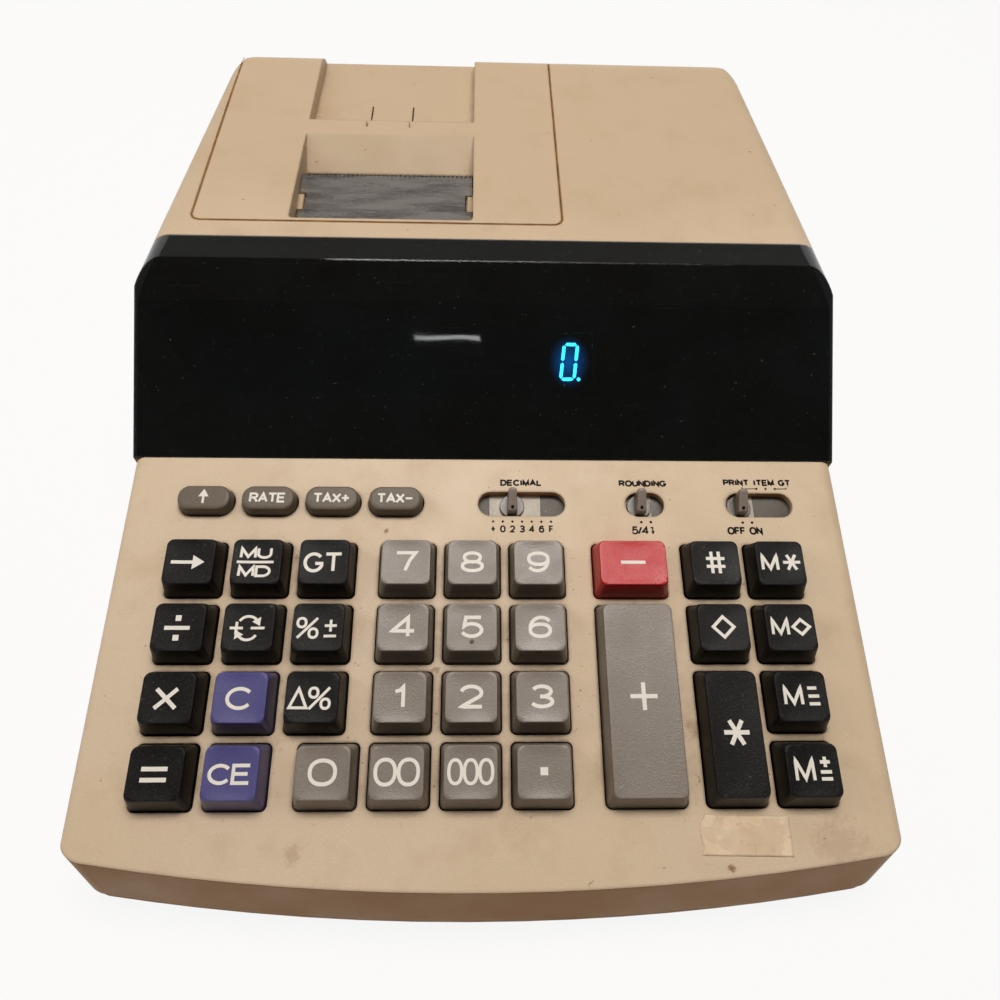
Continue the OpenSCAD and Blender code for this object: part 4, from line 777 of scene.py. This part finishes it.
LEGENDS = {
    # strokes in mm about the middle of the key's top, and their weight
    "key_shift": (moved([[(-4.3, 0), (3.0, 0)]] + arrow_head((4.2, 0), (1, 0), 2.0), -0.8, -0.35), 1.0),
    "key_markup": (moved(lines_of("MU", 2.75, 0.3, 1.62), -0.4, 2.45) + [[(-5.6, -0.3), (4.8, -0.3)]]
                   + moved(lines_of("MD", 2.75, 0.3, 1.62), -0.4, -3.05), 0.78),
    "key_grand_total": (moved(lines_of("GT", 5.1, 0.2, 1.0), -0.2, -0.35), 0.95),
    "key_0": (lines_of("0", 5.8, 0.2, 1.22), 1.0),
    "key_00": (lines_of("00", 6.1, 0.15, 0.9), 0.95), "key_000": (lines_of("ooo", 5.8, 0.12, 1.02), 0.85),
    "key_point": ([[(0, -1.0), (0, 1.0)]], 2.0),
    "key_minus": ([[(-3.55, 0), (3.55, 0)]], 0.95), "key_plus": (lines_of("+", 9.2), 1.15),
    "key_count": (lines_of("#", 6.6, 0.2, 0.9), 0.95),
    "key_memory_total": (moved(lines_of("M", 4.3, 0.2, 1.15), -3.1, 0)
                         + moved(lines_of("*", 5.4), 3.3, 0.1), 0.9),
    "key_divide": ([[(-3.85, -0.35), (3.05, -0.35)]]
                   + [[(x, y - 0.8), (x, y + 0.8)] for x in (-0.65, -0.15) for y in (2.4, -3.1)], 1.1),
    "key_percent": (moved(lines_of("%", 5.6), -2.9, -0.35) + moved(lines_of("_", 5.2), 3.4, -0.35), 0.75),
    "key_sign": (moved(moved(lines_of("+", 4.4), -3.0, -0.1) + [[(0.9, -0.1), (4.7, -0.1)]]
                       + [arc(0.1, 0.7, 2.7, 2.5, 152, 38)] + arrow_head((3.0, 1.1), (0.55, -1), 1.1)
                       + [arc(0.1, -0.9, 2.7, 2.5, -28, -142)] + arrow_head((-2.8, -1.3), (-0.55, 1), 1.1),
                       -0.3, -0.3), 0.75),
    "key_subtotal": (lines_of("<", 5.8, 0.2, 1.1), 0.9),
    "key_memory_subtotal": (moved(lines_of("M", 4.3, 0.2, 1.15), -3.0, 0)
                            + moved(lines_of("<", 4.2, 0.2, 1.2), 3.0, 0), 0.85),
    "key_multiply": (moved(lines_of("x", 5.3, 0.2, 1.08), -0.3, -0.35), 1.1),
    "key_clear": (moved(lines_of("C", 5.1, 0.2, 1.32), -0.2, -0.35), 0.95),
    "key_change": (moved(lines_of("^", 5.0, 0.2, 1.05), -3.6, -0.35)
                   + moved(lines_of("%", 5.6), 2.0, -0.35), 0.75),
    "key_total": (lines_of("*", 7.4), 1.15),
    "key_memory_minus": (moved(lines_of("M", 4.5, 0.2, 1.15), -2.3, 0)
                         + moved(lines_of("e", 5.4), 3.3, 0), 0.88),
    "key_equals": (moved(lines_of("=", 4.6, 0.2, 1.45), -0.3, -0.35), 1.1),
    "key_clear_entry": (moved(lines_of("CE", 4.25, 0.22, 1.29), -0.2, -0.35), 0.9),
    "key_memory_plus": (moved(lines_of("M", 5.2, 0.2, 1.0), -2.3, 0)
                        + moved(lines_of("p", 5.4), 3.3, 0), 0.88),
}
for digit in "123456789":
    LEGENDS["key_" + digit] = (lines_of(digit, 5.35, 0.2, 1.18), 1.0)

for name in KEYS:
    k = keycap(name)
    strokes, weight = LEGENDS[name]
    inked(name.replace("key_", "legend_"), strokes, weight, name, WHITE_PRINT, k.x, k.y + k.shift + 0.1,
          k.height)

for column, (name, text) in enumerate(OVALS.items()):
    oval_cap(name, column)
    if text:
        strokes, weight = lines_of(text, 2.6), 0.68
    else:
        strokes, weight = [[(0, -1.9), (0, 0.9)]] + arrow_head((0, 2.1), (0, 1), 1.5), 0.7
    inked(name.replace("key_", "legend_"), strokes, weight, name, WHITE_PRINT, left_col(column), UPPER_ROW,
          lambda x, y: OVAL_H)


def nub():
    """The raised dot that marks the 5 key."""
    k = Key("key_5")
    front = 3.6
    level = k.height(0, -front - k.shift)
    rings = [[(x, y, level + z) for x, y in circle(k.x, k.y - front, r, 14)]
             for r, z in ((0.62, -0.1), (0.58, 0.12), (0.44, 0.28), (0.2, 0.36))]
    verts, faces = skin(rings)
    piece("finger_nub", verts, faces, PLATE_DARK, "key_5")


nub()


# Slide switches

# Each lever: its slot's middle, its number of places and the place that it rests in
SWITCHES = {"lever_decimal": (10.5, 7, 2), "lever_rounding": (48.5, 2, 0), "lever_print": (84.2, 5, 0)}
DETENT, PLATE_W, SLOT_W, SLOT_GAP = 2.94, 7.6, 8.1, 0.3
# The fin's side: place along the deck, height, and half of its width there
FIN = ((-3.45, -1.6, 1.5), (-3.3, 0.6, 1.5), (-3.15, 1.6, 1.48), (-2.75, 2.2, 1.42), (-2.1, 2.5, 1.4),
       (0.4, 3.9, 1.36), (2.3, 5.0, 1.3), (2.95, 5.2, 1.25), (3.45, 4.95, 1.2), (3.65, 4.4, 1.2),
       (3.4, 2.6, 1.4), (3.0, -1.6, 1.5))
# The dark dot on the fin, painted shade where its small hole is: its place, its height, its rise to the
# rear and its radius
EYE_Y, EYE_Z, EYE_RISE, EYE_R = -2.0, 2.62, 0.56, 0.5
# Plates in each slot: left and right end, and one for a pale plate
DUST_PLATES = {"lever_decimal": ((-3.1, 0.6, 0), (0.2, 16.4, 1), (16.0, 24.1, 0)),
               "lever_rounding": ((42.3, 51.0, 1), (50.6, 54.7, 0)),
               "lever_print": ((73.6, 83.2, 1), (82.8, 94.8, 0))}
DUST_Z, DUST_STEP, DUST_HALF = -2.74, 0.045, 4.6


def place_x(name, place):
    """Where a lever stands at one of its places, counted from the left."""
    mid, count = SWITCHES[name][:2]
    return mid + (place - (count - 1) / 2) * DETENT


def lever(name):
    """An oval sliding plate, and on it a fin with a rounded nose that rises to the rear."""
    x0 = place_x(name, SWITCHES[name][2])
    reach = SLOT_W / 2 - SLOT_GAP
    outline = [(x, max(-reach, min(reach, y))) for x, y in circle(0, 0, PLATE_W / 2, 40)]
    rings = [[(x0 + x * s, UPPER_ROW + y * s, z) for x, y in outline]
             for s, z in ((1, -2.5), (1, -1.62), (0.97, -1.52), (0.92, -1.49), (0.5, -1.46))]
    verts, faces = skin(rings)
    base = len(verts)
    rows = []
    for f in (-1.0, -0.82, -0.45, 0.0, 0.45, 0.82, 1.0):
        shorter, lower = 1 - 0.10 * abs(f) ** 3, 1 - 0.10 * abs(f) ** 4
        rows.append([(x0 + f * w, UPPER_ROW + y * shorter, z * lower if z > 0 else z) for y, z, w in FIN])
    fin, fin_faces = skin(rows)
    verts += fin
    faces += [tuple(base + i for i in f) for f in fin_faces]
    ob = piece(name + "_cap", verts, faces, LEVER, name)
    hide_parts(name)
    weighted(ob, keep_sharp=False)
    # Painted shade: a flat dark disc stands in for the fin's small hole.
    hole_shade = [(x0 + x, UPPER_ROW + EYE_Y + y, EYE_Z + EYE_RISE * y) for x, y in circle(0, 0, EYE_R, 16)]
    piece(name + "_eye", hole_shade, [tuple(range(len(hole_shade)))], DARK_PRINT, name)


def dust_plates():
    """Overlapping plates that close the slots beside the levers."""
    for name, plates in DUST_PLATES.items():
        for i, (x0, x1, pale) in enumerate(plates):
            z = DUST_Z + DUST_STEP * (len(plates) - i)
            rings = []
            for level, e in ((z - 0.03, 0), (z, 0), (z + 0.02, 0.06)):
                outline = ring(x0 + e, x1 - e, e - DUST_HALF, DUST_HALF - e, 0.4, 3)
                rings.append([(x, y + UPPER_ROW, level) for x, y in outline])
            verts, faces = skin(rings)
            ob = piece("%s_plate_%d" % (name, i), verts, faces, PLATE if pale else PLATE_DARK, "case")


for name in SWITCHES:
    lever(name)
dust_plates()


def dots(name, places, y, r=0.42):
    verts, faces = [], []
    for x in places:
        base = len(verts)
        verts += [(px, py, LIFT) for px, py in circle(x, y, r, 12)]
        faces.append(tuple(range(base, len(verts))))
    piece(name, verts, faces, DARK_PRINT, "case")


# Rows of print above and below the slots
LABEL_Y, PRINT_Y, BRACKET_Y, DOT_Y, DIGIT_Y, MARK_Y = 113.9, 114.4, 112.3, 100.9, 98.5, 98.2
WORDS = (
    # name, words, height, weight, place, gap and stretch
    ("label_decimal", "DECIMAL", 1.6, 0.58, 10.4, LABEL_Y, 0.36, 1.1),
    ("label_rounding", "ROUNDING", 1.6, 0.58, 48.4, LABEL_Y, 0.34, 1.1),
    ("mark_half", "5/4", 2.1, 0.54, 46.5, MARK_Y, 0.16, 0.85),
    ("label_off", "OFF", 1.95, 0.6, 76.1, MARK_Y, 0.24, 0.9),
    ("label_on", "ON", 1.95, 0.6, 82.1, MARK_Y, 0.24, 0.9),
    ("label_print", "PRINT", 1.6, 0.58, 78.0, PRINT_Y, 0.34, 1.05),
    ("label_item", "ITEM", 1.6, 0.58, 86.75, PRINT_Y, 0.34, 1.05),
    ("label_gt", "GT", 1.6, 0.58, 93.3, PRINT_Y, 0.3, 1.05),
)


def switch_marks():
    for i, c in enumerate("+02346F"):
        x = place_x("lever_decimal", i)
        on_case("mark_decimal_%d" % i, lines_of(c, 1.85, 0.2, 0.72), 0.5, x, DIGIT_Y)
    for name, text, size, weight, x, y, gap, stretch in WORDS:
        on_case(name, lines_of(text, size, gap, stretch), weight, x, y)
    down = lines_of("j", 2.0) + [[(-0.1, -0.3), (0.24, -1.0), (0.58, -0.3)]]
    on_case("mark_down", down, 0.42, 50.1, 98.3)
    left, first, last, right = 79.6, 84.2, 90.0, 93.6
    turned_up = BRACKET_Y + 0.5
    brackets = [[(left, turned_up), (left, BRACKET_Y), (first, BRACKET_Y)],
                [(last, BRACKET_Y), (right, BRACKET_Y), (right, turned_up)]]
    on_case("brackets", brackets, 0.28, 0, 0)
    dots("dots_decimal", [place_x("lever_decimal", i) for i in range(7)], DOT_Y, 0.38)
    dots("dots_rounding", [place_x("lever_rounding", i) for i in range(2)], DOT_Y)
    dots("dots_off_on", [place_x("lever_print", i) for i in range(2)], DOT_Y)
    dots("dots_print", [first, (first + last) / 2, last], BRACKET_Y, 0.38)


switch_marks()


# Dirt along the printer cover's seam

HALF_W, REAR_TAPER, SHOULDER_R, BACK_R = 110.0, 8.8, 8.0, 12.0
SIDE_TURN = math.atan(REAR_TAPER / REAR_LEN)
COVER_X0, COVER_X1, COVER_FRONT, COVER_R = -96.7, 24.3, 18.7, 3.0
SEAM_END = REAR_LEN - 8.0


def rear_height(x, s):
    """Height of the rear top at a place behind the fold, with its rounded side and back edges."""
    def drop(d, r):
        return r - math.sqrt(r * r - (r - d) ** 2) if d < r else 0.0
    side = (HALF_W - abs(x)) * math.cos(SIDE_TURN) - s * math.sin(SIDE_TURN)
    return -max(drop(max(side, 0.0), SHOULDER_R), drop(max(REAR_LEN - s, 0.0), BACK_R))


def seam_line(out, back):
    """The cover's outline moved outward, up its left side, round the front and up its right side."""
    x0, x1, y, r = COVER_X0 - out, COVER_X1 + out, COVER_FRONT - out, COVER_R + out
    front = arc(x0 + r, y + r, r, r, 180, 270, 6) + arc(x1 - r, y + r, r, r, 270, 360, 6)
    return [(x0, back)] + front + [(x1, back)]


def seam_dirt():
    dirt = aged_grime()
    bands = (("seam_dirt_case", "case", 0.50, 0.36), ("seam_dirt_cover", "cover", -0.17, 0.30))
    for name, body, out, width in bands:
        verts, faces = [], []
        ribbon(seam_line(out, SEAM_END), width, verts, faces, rear_height, LIFT)
        piece(name, verts, faces, dirt, body, REAR)


seam_dirt()


# Sticker: blank aged paper with a torn corner

PAPER_X0, PAPER_X1, PAPER_Y0, PAPER_Y1, PAPER_T = 55.6, 79.3, 8.2, 17.9, 0.09
PAPER_SKEW, PAPER_LIFT = 0.5, 0.05


def sticker():
    nx, ny = 40, 18
    rnd = random.Random(3)
    torn = [rnd.uniform(-0.25, 0.25) for _ in range(ny + 1)]
    verts, faces = [], []
    for j in range(ny + 1):
        v = j / ny
        left = PAPER_X0 + torn[j] + 2.34 * max(0.0, v - 0.55) + 0.5 * math.sin(7 * v)
        for i in range(nx + 1):
            u = i / nx
            ripple = 0.05 * math.sin(9 * u + 4 * v) ** 2
            curl = 7.7 * max(0.0, v - 0.7) * max(0.0, 0.14 - u)
            x, y = left + (PAPER_X1 - left) * u, PAPER_Y0 + (PAPER_Y1 - PAPER_Y0) * v - PAPER_SKEW * u
            verts.append((x, y, PAPER_LIFT + ripple + curl))
    for j in range(ny):
        for i in range(nx):
            a = j * (nx + 1) + i
            faces.append((a, a + 1, a + nx + 2, a + nx + 1))
    ob = piece("sticker", verts, faces, aged_paper(), "case")
    mod = ob.modifiers.new("paper", "SOLIDIFY")
    mod.thickness, mod.offset = PAPER_T * MM, 0.0


sticker()


# Display: glowing segments on the tube, behind the smoked sheet

def bloom(centre, reach):
    """Blue light that fades outward from a place on the tube."""
    m = Mat("lit_bloom", Emission_Color=(0.0, 0.28, 1.0, 1.0), Roughness=0.4)
    m.feed("Base Color", m.mix(m.noise(900, 2), srgb(18, 22, 24), srgb(34, 40, 42)))
    squeeze = Vector((1.3, 1.0, 1.0))
    far = m.away_from(centre * squeeze * MM, m.stretch(squeeze))
    near = m.math("POWER", m.ramp(far, reach * MM, 0.0), 1.5)
    m.feed("Emission Strength", m.math("MULTIPLY", near, 44.0))
    return m.m


# The lit digit in the window's frame: middle, size, stroke, lean, gap between strokes and dot
LIT_X, LIT_Y, LIT_Z, LIT_W, LIT_H = 26.2, 32.0, -4.9, 4.3, 11.2
STROKE, LEAN, STROKE_GAP, DOT_R, DOT_AWAY, BLOOM = 1.1, 0.10, 0.22, 0.6, 0.9, 8.9


def stroke(start, end):
    """The six corners of one pointed segment of the digit."""
    a, b = Vector(start), Vector(end)
    d = (b - a).normalized()
    tip = d * STROKE / 2
    side = Vector((-d.y, d.x)) * STROKE / 2
    corners = (a, a + tip + side, b - tip + side, b, b - tip - side, a + tip - side)
    return [(LIT_X + p.x + LEAN * p.y, LIT_Y + p.y, LIT_Z) for p in corners]


def display():
    x, y, g = LIT_W / 2, LIT_H / 2, STROKE_GAP
    shapes = [stroke((g - x, v), (x - g, v)) for v in (y, -y)]
    shapes += [stroke((u, v + g), (u, v + y - g)) for v in (0, -y) for u in (-x, x)]
    dot = circle(LIT_X + x + DOT_AWAY, LIT_Y - y, DOT_R, 12)
    shapes.append([(u, v, LIT_Z) for u, v in dot])
    verts, faces = [], []
    for shape in shapes:
        faces.append(tuple(range(len(verts), len(verts) + len(shape))))
        verts += shape
    lit = glow("lit_segment", (0.03, 0.56, 1.0), 380.0)
    piece("lit_digit", verts, faces, lit, "case", WINDOW, False)
    rings = []
    for share in (1.0, 0.6, 0.2):
        outline = circle(LIT_X, LIT_Y, share * BLOOM, 32)
        rings.append([(u, v, LIT_Z - 0.04 - 0.02 * share) for u, v in outline])
    verts, faces = skin(rings)
    middle = WINDOW @ Vector((LIT_X, LIT_Y, LIT_Z))
    halo = piece("lit_bloom", verts, faces[1:], bloom(middle, BLOOM), "case", WINDOW)


display()


# Floor: radius and height of its rings in metres, how far it lies below the feet, and its whiteness
FLOOR_RINGS = ((0.5, 0.0), (1.5, 0.0), (2.6, 0.0), (3.0, 0.04), (3.4, 0.17), (3.7, 0.42), (3.9, 0.8),
               (4.0, 1.3), (4.0, 2.4))
FLOOR_DROP, FLOOR_WHITE = 0.0002, 0.90


def floor():
    """A plain pale floor, turned up far out, that reads as white and keeps the object's soft shadow."""
    m = Mat("floor", Roughness=0.75)
    m.feed("Base Color", m.mix(m.noise(3, 3), (0.74, 0.67, 0.58), (0.80, 0.73, 0.64)))
    path = m.node("ShaderNodeLightPath").outputs
    mirrored = m.math("MAXIMUM", path["Is Glossy Ray"], path["Is Transmission Ray"])
    seen = m.math("MAXIMUM", path["Is Camera Ray"], mirrored)
    white = m.node("ShaderNodeEmission", {"Color": (1.0, 1.0, 1.0, 1.0), "Strength": 1.0}).outputs[0]
    share = m.math("MULTIPLY", seen, FLOOR_WHITE)
    both = m.node("ShaderNodeMixShader", {0: share, 1: m.b.outputs[0], 2: white}).outputs[0]
    m.t.links.new(both, m.t.nodes["Material Output"].inputs["Surface"])
    rings = [[(x, y, z - FLOOR_DROP) for x, y in circle(0, 0, r, 96)] for r, z in FLOOR_RINGS]
    verts, faces = skin(rings)
    mesh = bpy.data.meshes.new("floor")
    mesh.from_pydata(verts, [], faces[:-1])
    mesh.shade_smooth()
    mesh.materials.append(m.m)
    ob = bpy.data.objects.new("floor", mesh)
    bpy.context.collection.objects.link(ob)


floor()
